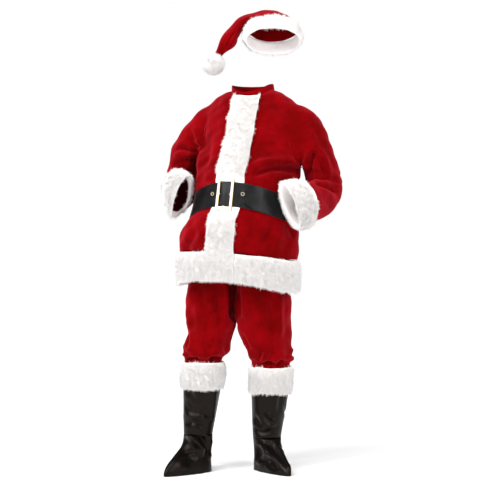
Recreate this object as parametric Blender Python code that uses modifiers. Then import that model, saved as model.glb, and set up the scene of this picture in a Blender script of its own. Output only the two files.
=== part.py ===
"""Santa suit on a wearer's pose, with no wearer: hat, jacket, belt, trousers and two boot covers.

Metres, +Z up, and the jacket's front faces -Y. The origin is the middle of the jacket's neck opening. Heights
in the tables are taken from the floor that the boots stand on. Right and left are the wearer's: left is +X.
Each garment is one surface of points and four-sided faces. Its pieces are cut from that surface, so they meet
edge to edge, and each gets a wall by moving its points out along the surface."""

import math

import bmesh
import bpy
from mathutils import Matrix, Vector

NECK_HEIGHT = 1.505  # the origin, above the floor
UP = Vector((0, 0, 1))

PLUSH = 0.0025  # walls of the cloths
FUR_BACKING = 0.003
VINYL = 0.0016
LEATHER = 0.003
SEAM = 0.0004  # between pieces sewn edge to edge
LAID = 0.0003  # between pieces that lie on each other
FUR_PILE = 0.014  # how far the fur of a band stands from its cloth
FUR_EDGE = 0.007  # the same at a band's rounded edges
FUR_UNDER_BELT = 0.004  # pile pressed flat by the belt

FINISHES = {  # colour, roughness, metallic
    "red_plush": ((0.42, 0.006, 0.012), 0.85, 0.0),
    "white_fur": ((0.86, 0.84, 0.82), 0.95, 0.0),
    "black_leather": ((0.02, 0.02, 0.022), 0.42, 0.0),
    "black_vinyl": ((0.012, 0.010, 0.010), 0.35, 0.0),
    "black_elastic": ((0.02, 0.02, 0.02), 0.8, 0.0),
    "gilt_metal": ((0.83, 0.6, 0.25), 0.22, 1.0),
}

SUIT = bpy.data.collections.new("santa_suit")


# ---------------------------------------------------------------- tools


def from_floor(x, y, height):
    return Vector((x, y, height - NECK_HEIGHT))


def mix(a, b, share):
    return a + (b - a) * share


def read_table(columns, rows):
    """Rows of a table as dictionaries, by the names of its columns."""
    names = columns.split()
    return [dict(zip(names, row, strict=True)) for row in rows]


def finish(name):
    """The material of this name, made when it is first asked for."""
    found = bpy.data.materials.get(name)
    if found:
        return found
    colour, roughness, metallic = FINISHES[name]
    made = bpy.data.materials.new(name)
    made.use_nodes = True
    shader = made.node_tree.nodes["Principled BSDF"]
    shader.inputs["Base Color"].default_value = (*colour, 1)
    shader.inputs["Roughness"].default_value = roughness
    shader.inputs["Metallic"].default_value = metallic
    return made


def add_object(name, bm, material, sharp_over=50):
    mesh = bpy.data.meshes.new(name)
    bm.to_mesh(mesh)
    bm.free()
    mesh.materials.append(finish(material))
    mesh.shade_smooth()
    mesh.set_sharp_from_angle(angle=math.radians(sharp_over))
    made = bpy.data.objects.new(name, mesh)
    SUIT.objects.link(made)
    return made


class Surface:
    """Points and four-sided faces that the pieces of one garment are cut from."""

    def __init__(self):
        self.points = []
        self.faces = {}  # piece: its faces, as four point numbers each, seen from outside

    def add_row(self, points):
        first = len(self.points)
        self.points += points
        return list(range(first, len(self.points)))

    def join_rows(self, near, far, piece_at, closed=True):
        """Faces between two rows. piece_at is a piece's name, or gives it for a column, or None for no face."""
        for column in range(len(near) if closed else len(near) - 1):
            after = (column + 1) % len(near)
            piece = piece_at(column) if callable(piece_at) else piece_at
            if piece:
                corners = (near[column], near[after], far[after], far[column])
                self.faces.setdefault(piece, []).append(corners)

    def normals(self):
        """The direction out of the surface at each point. Points at the same place share it."""
        places = [tuple(round(value, 6) for value in point) for point in self.points]
        total = {place: Vector() for place in places}
        for faces in self.faces.values():
            for a, b, c, d in faces:
                across = (self.points[c] - self.points[a]).cross(self.points[d] - self.points[b])
                for corner in (a, b, c, d):
                    total[places[corner]] += across
        return [total[place].normalized() for place in places]


def drawn_in(surface, faces):
    """How each point on the cut edge of these faces moves back, to leave half a seam's gap."""
    edges = {(face[i], face[(i + 1) % 4]): face for face in faces for i in range(4)}
    rim = [(a, b, face) for (a, b), face in edges.items() if (b, a) not in edges]
    inward = {}
    for a, b, face in rim:
        along = (surface.points[b] - surface.points[a]).normalized()
        middle = sum((surface.points[corner] for corner in face), Vector()) / 4
        inside = middle - surface.points[a]
        inside = (inside - along * inside.dot(along)).normalized()
        for corner in (a, b):
            inward.setdefault(corner, []).append(inside)
    moves = {}
    for corner, sides in inward.items():
        direction = sum(sides, Vector()).normalized()
        moves[corner] = direction * (SEAM / 2) / max(direction.dot(sides[0]), 0.5)
    return [(a, b) for a, b, _ in rim], moves


def halves(surface, face):
    """A face's two triangles, split at its shorter diagonal, so that what lies on it is split alike."""
    a, b, c, d = face
    first = (surface.points[c] - surface.points[a]).length
    second = (surface.points[d] - surface.points[b]).length
    return ((a, b, c), (a, c, d)) if first <= second else ((a, b, d), (b, c, d))


def cut_piece(name, surface, faces, material, thickness, lift=0.0):
    """The wall of one piece. thickness and lift are sizes, or functions of a point's number."""
    thickness_at = thickness if callable(thickness) else lambda number: thickness
    lift_at = lift if callable(lift) else lambda number: lift
    normals = surface.normals()
    rim, moves = drawn_in(surface, faces)
    bm = bmesh.new()
    inner, outer = {}, {}
    for number in sorted({corner for face in faces for corner in face}):
        base = surface.points[number] + moves.get(number, Vector())
        low = lift_at(number)
        inner[number] = bm.verts.new(base + normals[number] * low)
        outer[number] = bm.verts.new(base + normals[number] * (low + thickness_at(number)))
    for face in faces:
        for corners in halves(surface, face):
            bm.faces.new([outer[corner] for corner in corners])
            bm.faces.new([inner[corner] for corner in reversed(corners)])
    for a, b in rim:
        first = min(surface.points[a][:], surface.points[b][:]) == surface.points[a][:]
        bm.faces.new([outer[b], outer[a], inner[b] if first else inner[a]])
        bm.faces.new([inner[a], inner[b], outer[a] if first else outer[b]])
    return add_object(name, bm, material)


def tube_row(centre, axis, wide, deep, reference, angles, bulge=None):
    """A ring of points about an axis. It starts on the reference's side, and bulge(angle) scales it."""
    axis = axis.normalized()
    side = (reference - axis * reference.dot(axis)).normalized()
    front = axis.cross(side)
    points = []
    for angle in angles:
        size = bulge(angle) if bulge else 1.0
        points.append(centre + (side * wide * math.cos(angle) + front * deep * math.sin(angle)) * size)
    return points, side


def even_angles(count, first=0.0):
    return [first + 2 * math.pi * step / count for step in range(count)]


def angles_of(points, centre, axis, reference):
    """The angles of these points round an axis, rising from the first one."""
    axis = axis.normalized()
    side = (reference - axis * reference.dot(axis)).normalized()
    front = axis.cross(side)
    angles = []
    for point in points:
        angle = math.atan2((point - centre).dot(front), (point - centre).dot(side))
        while angles and angle < angles[-1]:
            angle += 2 * math.pi
        angles.append(angle)
    return angles


# ---------------------------------------------------------------- jacket

COLUMNS_ROUND = 36  # faces round the jacket beside the placket
COLUMNS_PLACKET = 4
PLACKET_HALF = 0.058  # half the width of the fur strip down the front
LAST = COLUMNS_ROUND + COLUMNS_PLACKET

# Rings of the jacket's body. rise lifts a ring's front, lean lowers its left side, middle_x and middle_y are its
# centre, gather is the depth of its soft pleats.
JACKET_RINGS = read_table(
    "name height rise lean middle_x middle_y half_width front_depth back_depth gather",
    [
        ("hem", 0.720, 0.037, 0.015, -0.052, -0.020, 0.236, 0.212, 0.174, 0.004),
        ("hem_middle", 0.788, 0.028, 0.015, -0.051, -0.020, 0.237, 0.213, 0.174, 0.004),
        ("hem_top", 0.856, 0.019, 0.015, -0.050, -0.020, 0.236, 0.214, 0.172, 0.004),
        ("skirt", 0.905, 0.035, 0.010, -0.048, -0.020, 0.237, 0.220, 0.168, 0.005),
        ("skirt_top", 0.950, 0.052, 0.006, -0.042, -0.020, 0.232, 0.219, 0.162, 0.006),
        ("belt_bottom", 0.984, 0.060, 0.004, -0.026, -0.020, 0.215, 0.207, 0.152, 0.002),
        ("belt_middle", 1.031, 0.060, 0.004, -0.019, -0.020, 0.207, 0.204, 0.148, 0.001),
        ("belt_top", 1.078, 0.060, 0.004, -0.015, -0.020, 0.204, 0.198, 0.144, 0.001),
        ("waist", 1.112, 0.055, 0.003, -0.014, -0.020, 0.208, 0.198, 0.145, 0.003),
        ("belly", 1.155, 0.035, 0.001, -0.012, -0.018, 0.208, 0.187, 0.143, 0.002),
        ("underarm", 1.208, 0.015, 0, -0.011, -0.014, 0.209, 0.172, 0.138, 0.001),
        ("chest", 1.262, 0.004, 0, -0.006, -0.009, 0.203, 0.157, 0.133, 0),
        ("breast", 1.314, 0, 0, -0.002, -0.004, 0.199, 0.144, 0.128, 0),
        ("yoke", 1.364, 0, 0, 0, 0, 0.196, 0.131, 0.121, 0),
        ("collarbone", 1.412, 0, 0.002, 0, 0.002, 0.190, 0.113, 0.110, 0),
        ("shoulder", 1.455, -0.004, 0.006, 0, 0.004, 0.176, 0.091, 0.096, 0),
        ("trapezius", 1.480, -0.014, 0.005, 0, 0.004, 0.147, 0.081, 0.088, 0),
        ("nape", 1.498, -0.026, 0.002, 0, 0.002, 0.112, 0.077, 0.082, 0),
        ("neck", 1.505, -0.034, 0, 0, 0, 0.084, 0.074, 0.078, 0),
        ("neckband_top", 1.531, -0.037, 0, 0, 0, 0.080, 0.071, 0.075, 0),
    ],
)
RING_AT = {ring["name"]: number for number, ring in enumerate(JACKET_RINGS)}
ARMHOLE_COLUMNS = {"left": (5, 11), "right": (25, 31)}
SIDE_SEAM = {"left": 8, "right": 28}
ARMHOLE_ROWS = (RING_AT["underarm"], RING_AT["shoulder"])

# Rings of the sleeves. axis_x, axis_y and axis_z point to the hand, wide is across and deep is along the body.
# crease is how far the inside of the elbow is pressed in, and relax how evenly the points are spread.
SLEEVE_COLUMNS = "name x y height axis_x axis_y axis_z wide deep crease relax"
SLEEVE_RINGS = {
    "left": read_table(
        SLEEVE_COLUMNS,
        [
            ("cap", 0.227, 0.004, 1.317, 0.99, 0.03, -0.15, 0.107, 0.072, 0, 0.1),
            ("upper", 0.248, 0.010, 1.285, 0.91, 0.06, -0.40, 0.088, 0.076, 0, 0.3),
            ("fold", 0.260, 0.022, 1.240, 0.72, 0.15, -0.68, 0.074, 0.078, 0, 0.5),
            ("biceps", 0.267, 0.042, 1.202, 0.50, 0.25, -0.83, 0.069, 0.079, 0, 0.7),
            ("above_elbow", 0.271, 0.066, 1.165, 0.25, 0.25, -0.94, 0.069, 0.078, 0.05, 0.9),
            ("elbow", 0.273, 0.080, 1.128, -0.02, -0.30, -0.95, 0.070, 0.078, 0.16, 1.0),
            ("elbow_bend", 0.274, 0.060, 1.098, -0.08, -0.78, -0.62, 0.068, 0.077, 0.20, 1.0),
            ("forearm", 0.274, 0.008, 1.079, -0.12, -0.95, -0.28, 0.066, 0.078, 0.04, 1.0),
            ("forearm_end", 0.270, -0.058, 1.068, -0.24, -0.93, -0.28, 0.061, 0.080, 0, 1.0),
            ("cuff_seam", 0.259, -0.118, 1.056, -0.45, -0.82, -0.35, 0.060, 0.083, 0, 1.0),
            ("cuff_middle", 0.241, -0.163, 1.049, -0.62, -0.68, -0.40, 0.062, 0.089, 0, 1.0),
            ("cuff_end", 0.217, -0.197, 1.044, -0.73, -0.52, -0.446, 0.060, 0.094, 0, 1.0),
        ],
    ),
    "right": read_table(
        SLEEVE_COLUMNS,
        [
            ("cap", -0.229, -0.002, 1.320, -0.99, 0.00, -0.04, 0.108, 0.072, 0, 0.1),
            ("upper", -0.257, 0.004, 1.289, -0.93, 0.00, -0.36, 0.083, 0.076, 0, 0.3),
            ("fold", -0.287, 0.012, 1.251, -0.69, 0.05, -0.72, 0.074, 0.079, 0, 0.5),
            ("biceps", -0.295, 0.024, 1.207, -0.54, 0.10, -0.84, 0.069, 0.078, 0, 0.7),
            ("above_elbow", -0.304, 0.036, 1.168, -0.30, 0.10, -0.95, 0.071, 0.079, 0.05, 0.9),
            ("elbow", -0.311, 0.040, 1.140, -0.04, -0.40, -0.92, 0.072, 0.079, 0.14, 1.0),
            ("elbow_bend", -0.308, 0.014, 1.120, 0.14, -0.86, -0.50, 0.071, 0.078, 0.16, 1.0),
            ("forearm", -0.301, -0.035, 1.113, 0.20, -0.95, -0.10, 0.067, 0.078, 0.04, 1.0),
            ("forearm_end", -0.290, -0.083, 1.112, 0.40, -0.90, -0.14, 0.062, 0.078, 0, 1.0),
            ("cuff_seam", -0.273, -0.123, 1.109, 0.65, -0.73, -0.23, 0.054, 0.079, 0, 1.0),
            ("cuff_middle", -0.257, -0.150, 1.098, 0.84, -0.36, -0.38, 0.054, 0.087, 0, 1.0),
            ("cuff_end", -0.235, -0.163, 1.082, 0.894, 0.07, -0.437, 0.057, 0.096, 0, 1.0),
        ],
    ),
}


def jacket_angle(ring, column):
    """The angle round the body of a column, from the middle of the front towards the left side."""
    edge = math.asin(PLACKET_HALF / ring["half_width"])
    if column <= COLUMNS_ROUND:
        return mix(edge, 2 * math.pi - edge, column / COLUMNS_ROUND)
    return mix(-edge, edge, (column - COLUMNS_ROUND) / COLUMNS_PLACKET)


def jacket_point(ring, column):
    angle = jacket_angle(ring, column)
    to_left, to_front = math.sin(angle), math.cos(angle)
    pleat = ring["gather"] * (math.sin(5 * angle + 0.6) + 0.7 * math.sin(8 * angle + 2.0)) * abs(to_left)
    depth = (ring["front_depth"] if to_front > 0 else ring["back_depth"]) + pleat
    front = max(to_front, 0) ** 2
    return from_floor(
        ring["middle_x"] + (ring["half_width"] + pleat) * to_left,
        ring["middle_y"] - depth * to_front,
        ring["height"] + ring["rise"] * front - ring["lean"] * to_left,
    )


def jacket_point_between(row, column):
    """The body's surface at a place between its rings and columns."""
    low_row, low_column = int(row), int(column)
    corners = [
        jacket_point(JACKET_RINGS[min(low_row + up, len(JACKET_RINGS) - 1)], min(low_column + on, LAST))
        for up, on in ((0, 0), (0, 1), (1, 0), (1, 1))
    ]
    below = corners[0].lerp(corners[1], column - low_column)
    above = corners[2].lerp(corners[3], column - low_column)
    return below.lerp(above, row - low_row)


def armhole_loop(rows, side):
    """Point numbers round an armhole, from its top towards the lower columns, and so round."""
    first, last = ARMHOLE_COLUMNS[side]
    bottom, top = ARMHOLE_ROWS
    middle = (first + last) // 2
    loop = [rows[top][column] for column in range(middle, first, -1)]
    loop += [rows[row][first] for row in range(top, bottom, -1)]
    loop += [rows[bottom][column] for column in range(first, last)]
    loop += [rows[row][last] for row in range(bottom, top)]
    return loop + [rows[top][column] for column in range(last, middle, -1)]


def round_armhole(surface, rows, side):
    """Moves an armhole's square edge in the grid onto a rounded outline."""
    first, last = ARMHOLE_COLUMNS[side]
    bottom, top = ARMHOLE_ROWS
    for row in range(bottom, top + 1):
        for column in (range(first, last + 1) if row in (bottom, top) else (first, last)):
            across = 2 * (column - first) / (last - first) - 1
            up = 2 * (row - bottom) / (top - bottom) - 1
            round_across = across * math.sqrt(1 - 0.42 * up * up)
            round_up = up * math.sqrt(1 - 0.42 * across * across)
            surface.points[rows[row][column]] = jacket_point_between(
                mix(bottom, top, (round_up + 1) / 2), mix(first, last, (round_across + 1) / 2)
            )


def jacket_piece(row, column):
    """The piece that a face of the body's grid belongs to."""
    if row < RING_AT["hem_top"]:
        return "hem_fur"
    if row >= RING_AT["neck"]:
        return "neckband"
    bottom, top = ARMHOLE_ROWS
    if bottom <= row < top and any(a <= column < b for a, b in ARMHOLE_COLUMNS.values()):
        return None
    if column < SIDE_SEAM["left"]:
        return "front_left"
    return "back" if column < SIDE_SEAM["right"] else "front_right"


def add_sleeve(surface, rows, side):
    """The sleeve's rows, from the armhole to the cuff. Gives them by the names of their rings."""
    near = armhole_loop(rows, side)
    loop_points = [surface.points[number] for number in near]
    middle = sum(loop_points, Vector()) / len(near)
    outward = Vector((1 if side == "left" else -1, 0, 0))
    start = angles_of(loop_points, middle, outward, UP)
    even = even_angles(len(near), sum(start) / len(start) - math.pi * (len(near) - 1) / len(near))
    reference = UP
    made = {"armhole": near}
    for ring in SLEEVE_RINGS[side]:
        angles = [mix(a, b, ring["relax"]) for a, b in zip(start, even)]
        crook = -math.pi / 2 if side == "right" else math.pi / 2

        def pressed(angle, ring=ring, crook=crook):
            return 1 - ring["crease"] * max(math.cos(angle - crook), 0) ** 2

        centre = from_floor(ring["x"], ring["y"], ring["height"])
        axis = Vector((ring["axis_x"], ring["axis_y"], ring["axis_z"]))
        points, reference = tube_row(centre, axis, ring["wide"], ring["deep"], reference, angles, pressed)
        far = surface.add_row(points)
        piece = "cuff_fur_" if ring["name"] in ("cuff_middle", "cuff_end") else "sleeve_"
        surface.join_rows(near, far, piece + side)
        made[ring["name"]] = near = far
    return made


def pile_by_row(edge_rows, full_rows):
    """A fur band's thickness at each point: thin at its edges and full between them."""
    sizes = {number: FUR_BACKING + FUR_EDGE for row in edge_rows for number in row}
    sizes.update({number: FUR_BACKING + FUR_PILE for row in full_rows for number in row})
    return sizes.get


def build_jacket():
    """The jacket's pieces. Gives its surface and rows, which the belt follows."""
    surface = Surface()
    rows = [
        surface.add_row([jacket_point(ring, column) for column in range(LAST + 1)]) for ring in JACKET_RINGS
    ]
    for side in ("left", "right"):
        round_armhole(surface, rows, side)
    for row in range(len(rows) - 1):
        surface.join_rows(rows[row], rows[row + 1], lambda column, row=row: jacket_piece(row, column), closed=False)
    sleeves = {side: add_sleeve(surface, rows, side) for side in ("left", "right")}

    for piece in ("front_left", "front_right", "back", "sleeve_left", "sleeve_right"):
        cut_piece("jacket_" + piece, surface, surface.faces[piece], "red_plush", PLUSH)
    cut_piece("jacket_neckband", surface, surface.faces["neckband"], "red_plush", PLUSH)
    hem_pile = pile_by_row((rows[RING_AT["hem"]], rows[RING_AT["hem_top"]]), (rows[RING_AT["hem_middle"]],))
    cut_piece("jacket_hem_fur", surface, surface.faces["hem_fur"], "white_fur", hem_pile)
    for side, made in sleeves.items():
        pile = pile_by_row((made["cuff_seam"], made["cuff_end"]), (made["cuff_middle"],))
        cut_piece("jacket_cuff_fur_" + side, surface, surface.faces["cuff_fur_" + side], "white_fur", pile)
    build_placket(surface, rows)
    return surface, rows


def build_placket(surface, rows):
    """The fur strip that lies on the right front's edge, pressed flat where the belt crosses it."""
    on_grid = {number: (row, column) for row, line in enumerate(rows) for column, number in enumerate(line)}
    first, last = RING_AT["hem_top"], RING_AT["neck"]
    belted = range(RING_AT["belt_bottom"], RING_AT["belt_top"] + 1)
    faces = [
        face
        for face in surface.faces["front_right"]
        if on_grid.get(face[0], (0, 0))[1] >= COLUMNS_ROUND and first <= on_grid[face[0]][0] < last
    ]

    def pile(number):
        row, column = on_grid[number]
        if row in belted:
            return FUR_UNDER_BELT
        at_edge = column in (COLUMNS_ROUND, LAST) or row in (first, last)
        beside_belt = row + 1 in belted or row - 1 in belted
        return FUR_EDGE if at_edge or beside_belt else FUR_PILE

    cut_piece("jacket_placket_fur", surface, faces, "white_fur", pile, lift=PLUSH + LAID)


# ---------------------------------------------------------------- belt

BELT_CLEAR = 0.0007  # between the strap and what it lies on
BELT_STEP = PLUSH + LAID + FUR_UNDER_BELT  # the strap stands this far off where it crosses the placket
BELT_ACROSS = 4  # faces across the strap
TONGUE_COLUMN = -0.5  # where the rounded end lies, in the jacket's columns
STRAP_START = 3.0  # where the strap begins, under its own end
TONGUE_STEPS = 4
BUCKLE_WIDTH = 0.068
BUCKLE_HEIGHT = 0.127
BUCKLE_SIDE_BAR = 0.011
BUCKLE_END_BAR = 0.015
BUCKLE_THICKNESS = 0.005
BUCKLE_LEAN = math.radians(-2.5)
BUCKLE_ASIDE = 0.3  # how far it sits to the right of the placket's middle, in the jacket's columns
LUG = 0.006
EYELET_RADIUS = 0.0060
EYELET_WIRE = 0.0017
EYELET_COLUMNS = {"left": -0.05, "right": COLUMNS_ROUND - 0.05}


class BeltPath:
    """The jacket's surface under the belt, at any place round it and across it."""

    def __init__(self, surface, rows):
        self.surface = surface
        self.normals = surface.normals()
        self.rows = [rows[RING_AT[name]] for name in ("belt_bottom", "belt_middle", "belt_top")]

    def at(self, column, across):
        """The point and the outward direction, at across from 0, the lower edge, to 1, the upper edge."""
        column %= LAST
        low, row = int(column), min(int(across * 2), 1)
        found = []
        for values in (self.surface.points, self.normals):
            ends = [
                values[line[low]].lerp(values[line[low + 1]], column - low) for line in self.rows[row : row + 2]
            ]
            found.append(ends[0].lerp(ends[1], across * 2 - row))
        return found[0], found[1].normalized()

    def off(self, column):
        """How far the strap's back stands off the jacket's points: over the placket, and easing down beside it."""
        column %= LAST
        past = max(COLUMNS_ROUND - column, 0) if column > LAST / 2 else column
        share = max(0.0, 1 - past / 3)
        return PLUSH + BELT_CLEAR + (BELT_STEP - PLUSH) * share * share * (3 - 2 * share)


def build_belt(path):
    """A strap round the waist whose rounded end laps over its start, with its buckle and eyelets."""
    surface = Surface()
    turn = [STRAP_START - step for step in range(3)]
    turn += [LAST - step for step in range(LAST - 5)]
    turn += [5.0, 4.4, 3.8, 3.2, 2.4, 1.7]
    tongue_from = 1.6
    rows = []
    columns = turn + [None] * TONGUE_STEPS
    for step, column in enumerate(columns):
        points = []
        for across_step in range(BELT_ACROSS + 1):
            across = across_step / BELT_ACROSS
            at, lapped = column, step >= 3
            if at is None:
                share = math.sin(math.pi / 2 * (step - len(turn) + 1) / TONGUE_STEPS)
                roundness = math.sqrt(max(1 - (2 * across - 1) ** 2, 0.04))
                at = mix(tongue_from, TONGUE_COLUMN, share * roundness)
            point, out = path.at(at, across)
            over = smooth((4.6 - at) / 0.9) * (LEATHER + LAID) if lapped and at < 6 else 0.0
            points.append(point + out * (path.off(at) + over))
        rows.append(surface.add_row(points))
    for near, far in zip(rows, rows[1:]):
        surface.join_rows(near, far, "strap", closed=False)
    cut_piece("belt_strap", surface, surface.faces["strap"], "black_leather", LEATHER)
    build_buckle(path)
    build_eyelet("belt_eyelet_left", path, EYELET_COLUMNS["left"], 2 * LEATHER + LAID)
    build_eyelet("belt_eyelet_right", path, EYELET_COLUMNS["right"], LEATHER)


def smooth(share):
    share = min(max(share, 0.0), 1.0)
    return share * share * (3 - 2 * share)


def frame_on(path, column, across, off):
    """A frame on the belt: its X runs along the strap, its Y up, and its Z out."""
    point, out = path.at(column, across)
    up = path.at(column, 1.0)[0] - path.at(column, 0.0)[0]
    up = (up - out * up.dot(out)).normalized()
    turned = Matrix((up.cross(out), up, out)).transposed().to_4x4()
    return Matrix.Translation(point + out * off) @ turned


def build_buckle(path):
    """A tall rectangular frame, curved round the belly, with a small lug inside each side bar and the lower bar."""
    half_w, half_h = BUCKLE_WIDTH / 2, BUCKLE_HEIGHT / 2
    in_w, in_h = half_w - BUCKLE_SIDE_BAR, half_h - BUCKLE_END_BAR
    lines_x = [-half_w, -in_w, -LUG / 2, LUG / 2, in_w, half_w]
    lines_y = [-half_h, -in_h, -LUG / 2, LUG / 2, in_h, half_h]
    bm = bmesh.new()
    grid = {(i, j): bm.verts.new((x, y, 0)) for i, x in enumerate(lines_x) for j, y in enumerate(lines_y)}
    for i in range(5):
        for j in range(5):
            if i in (0, 4) or j in (0, 4):
                bm.faces.new([grid[i, j], grid[i + 1, j], grid[i + 1, j + 1], grid[i, j + 1]])
    for corner_a, corner_b, push in (
        ((1, 2), (1, 3), Vector((LUG * 0.6, 0, 0))),  # on the right bar
        ((4, 3), (4, 2), Vector((-LUG * 0.6, 0, 0))),  # on the left bar
        ((3, 1), (2, 1), Vector((0, LUG * 0.5, 0))),  # on the lower bar
    ):
        a, b = grid[corner_a], grid[corner_b]
        bm.faces.new([b, a, bm.verts.new(a.co + push), bm.verts.new(b.co + push)])
    bm.verts.ensure_lookup_table()
    bmesh.ops.recalc_face_normals(bm, faces=bm.faces)
    raised = bmesh.ops.extrude_face_region(bm, geom=list(bm.faces))
    top = [part for part in raised["geom"] if isinstance(part, bmesh.types.BMVert)]
    bmesh.ops.translate(bm, verts=top, vec=(0, 0, BUCKLE_THICKNESS))
    bmesh.ops.delete(bm, geom=[v for v in bm.verts if not v.link_faces], context="VERTS")
    bmesh.ops.recalc_face_normals(bm, faces=bm.faces)
    centre = LAST - COLUMNS_PLACKET / 2 - BUCKLE_ASIDE
    radius = JACKET_RINGS[RING_AT["belt_middle"]]["half_width"]
    bm.transform(Matrix.Rotation(-BUCKLE_LEAN, 4, "Z"))
    for vertex in bm.verts:
        vertex.co.z -= vertex.co.x ** 2 / (2 * radius)
    seat = frame_on(path, centre, 0.5, path.off(centre) + LEATHER + LAID + 0.0004)
    bm.transform(seat)
    made = add_object("belt_buckle", bm, "gilt_metal", sharp_over=30)
    bevel = made.modifiers.new("rounded edges", "BEVEL")
    bevel.width = 0.0014
    bevel.segments = 1
    bevel.limit_method = "ANGLE"
    bevel.angle_limit = math.radians(40)


def build_eyelet(name, path, column, off):
    seat = frame_on(path, column, 0.55, path.off(column) + off + LAID + EYELET_WIRE)
    bpy.ops.mesh.primitive_torus_add(
        major_radius=EYELET_RADIUS, minor_radius=EYELET_WIRE, major_segments=12, minor_segments=6
    )
    made = bpy.context.object
    made.name = made.data.name = name
    made.matrix_world = seat
    made.data.materials.append(finish("gilt_metal"))
    made.data.shade_smooth()
    for holder in list(made.users_collection):
        holder.objects.unlink(made)
    SUIT.objects.link(made)


# ---------------------------------------------------------------- trousers

PELVIS_COLUMNS = 40
CROTCH_COLUMNS = 7  # faces along the crotch seam, between the legs
CROTCH_DIP = 0.045
PELVIS_RINGS = read_table(
    "name height middle_x middle_y half_width front_depth back_depth",
    [
        ("waist_top", 1.030, -0.022, 0.000, 0.160, 0.135, 0.112),
        ("waist", 0.995, -0.026, 0.000, 0.161, 0.136, 0.113),
        ("hips", 0.930, -0.040, 0.000, 0.188, 0.146, 0.120),
        ("seat", 0.870, -0.050, 0.002, 0.202, 0.146, 0.122),
        ("fork", 0.815, -0.060, 0.002, 0.206, 0.136, 0.118),
    ],
)
# Rings of the legs down to the hem, which is tucked into the boot cover. gather is the depth of the scallops.
LEG_COLUMNS = "name x y height half_width half_depth gather relax"
LEG_RINGS = {
    "right": read_table(
        LEG_COLUMNS,
        [
            ("thigh_top", -0.164, 0.000, 0.750, 0.100, 0.112, 0, 0.4),
            ("thigh", -0.173, -0.006, 0.690, 0.095, 0.106, 0, 0.8),
            ("thigh_low", -0.173, -0.013, 0.630, 0.097, 0.101, 0, 1.0),
            ("above_knee", -0.165, -0.019, 0.580, 0.094, 0.098, 0.01, 1.0),
            ("knee_fold", -0.170, -0.022, 0.552, 0.086, 0.094, 0.02, 1.0),
            ("knee", -0.182, -0.025, 0.520, 0.091, 0.096, 0.04, 1.0),
            ("below_knee", -0.184, -0.028, 0.492, 0.091, 0.095, 0.05, 1.0),
            ("puff", -0.187, -0.030, 0.474, 0.088, 0.092, 0.07, 1.0),
            ("puff_low", -0.192, -0.031, 0.463, 0.084, 0.087, 0.05, 1.0),
            ("tuck", -0.196, -0.032, 0.456, 0.0720, 0.0720, 0, 1.0),
            ("hem", -0.197, -0.033, 0.412, 0.0705, 0.0705, 0, 1.0),
        ],
    ),
    "left": read_table(
        LEG_COLUMNS,
        [
            ("thigh_top", 0.044, 0.008, 0.750, 0.103, 0.112, 0, 0.4),
            ("thigh", 0.041, 0.014, 0.690, 0.106, 0.106, 0, 0.8),
            ("thigh_low", 0.039, 0.024, 0.630, 0.108, 0.104, 0, 1.0),
            ("above_knee", 0.036, 0.033, 0.575, 0.107, 0.102, 0.01, 1.0),
            ("knee", 0.037, 0.043, 0.532, 0.100, 0.100, 0.03, 1.0),
            ("below_knee", 0.046, 0.049, 0.492, 0.090, 0.098, 0.05, 1.0),
            ("puff", 0.058, 0.053, 0.462, 0.089, 0.095, 0.07, 1.0),
            ("puff_low", 0.059, 0.055, 0.447, 0.085, 0.088, 0.05, 1.0),
            ("tuck", 0.058, 0.056, 0.440, 0.0720, 0.0720, 0, 1.0),
            ("hem", 0.057, 0.057, 0.396, 0.0705, 0.0705, 0, 1.0),
        ],
    ),
}
SCALLOPS = 7


def pelvis_point(ring, column):
    angle = 2 * math.pi * column / PELVIS_COLUMNS
    depth = ring["front_depth"] if math.cos(angle) > 0 else ring["back_depth"]
    return from_floor(
        ring["middle_x"] + ring["half_width"] * math.sin(angle),
        ring["middle_y"] - depth * math.cos(angle),
        ring["height"],
    )


def build_trousers():
    surface = Surface()
    rows = [
        surface.add_row([pelvis_point(ring, column) for column in range(PELVIS_COLUMNS)])
        for ring in PELVIS_RINGS
    ]
    half = PELVIS_COLUMNS // 2
    surface.join_rows(rows[1], rows[0], "waistband")
    for upper, lower in zip(rows[1:], rows[2:]):
        surface.join_rows(lower, upper, lambda column: "leg_left" if column < half else "leg_right")
    fork = rows[-1]
    front, back = surface.points[fork[0]], surface.points[fork[half]]
    seam = []
    for step in range(1, CROTCH_COLUMNS):
        share = step / CROTCH_COLUMNS
        seam.append(back.lerp(front, share) - UP * CROTCH_DIP * math.sin(math.pi * share))
    seam = surface.add_row(seam)
    tops = {"left": fork[: half + 1] + seam, "right": fork[half:] + fork[:1] + seam[::-1]}
    for side, top in tops.items():
        near = top
        start = angles_of(
            [surface.points[number] for number in top], leg_centre(side), UP, Vector((0, -1, 0))
        )
        even = even_angles(len(top), sum(start) / len(start) - math.pi * (len(top) - 1) / len(top))
        for ring in LEG_RINGS[side]:
            angles = [mix(a, b, ring["relax"]) for a, b in zip(start, even)]

            def scallop(angle, ring=ring):
                return 1 + ring["gather"] * math.cos(SCALLOPS * angle + 0.9 * math.sin(2 * angle))

            points, _ = tube_row(
                from_floor(ring["x"], ring["y"], ring["height"]),
                UP,
                ring["half_depth"],
                ring["half_width"],
                Vector((0, -1, 0)),
                angles,
                scallop,
            )
            far = surface.add_row(points)
            surface.join_rows(far, near, "leg_" + side)
            near = far
    for side in ("left", "right"):
        cut_piece("trouser_leg_" + side, surface, surface.faces["leg_" + side], "red_plush", PLUSH)
    cut_piece("trouser_waistband", surface, surface.faces["waistband"], "red_plush", PLUSH)


def leg_centre(side):
    ring = LEG_RINGS[side][0]
    return from_floor(ring["x"], ring["y"], ring["height"])


# ---------------------------------------------------------------- boot covers

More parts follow.
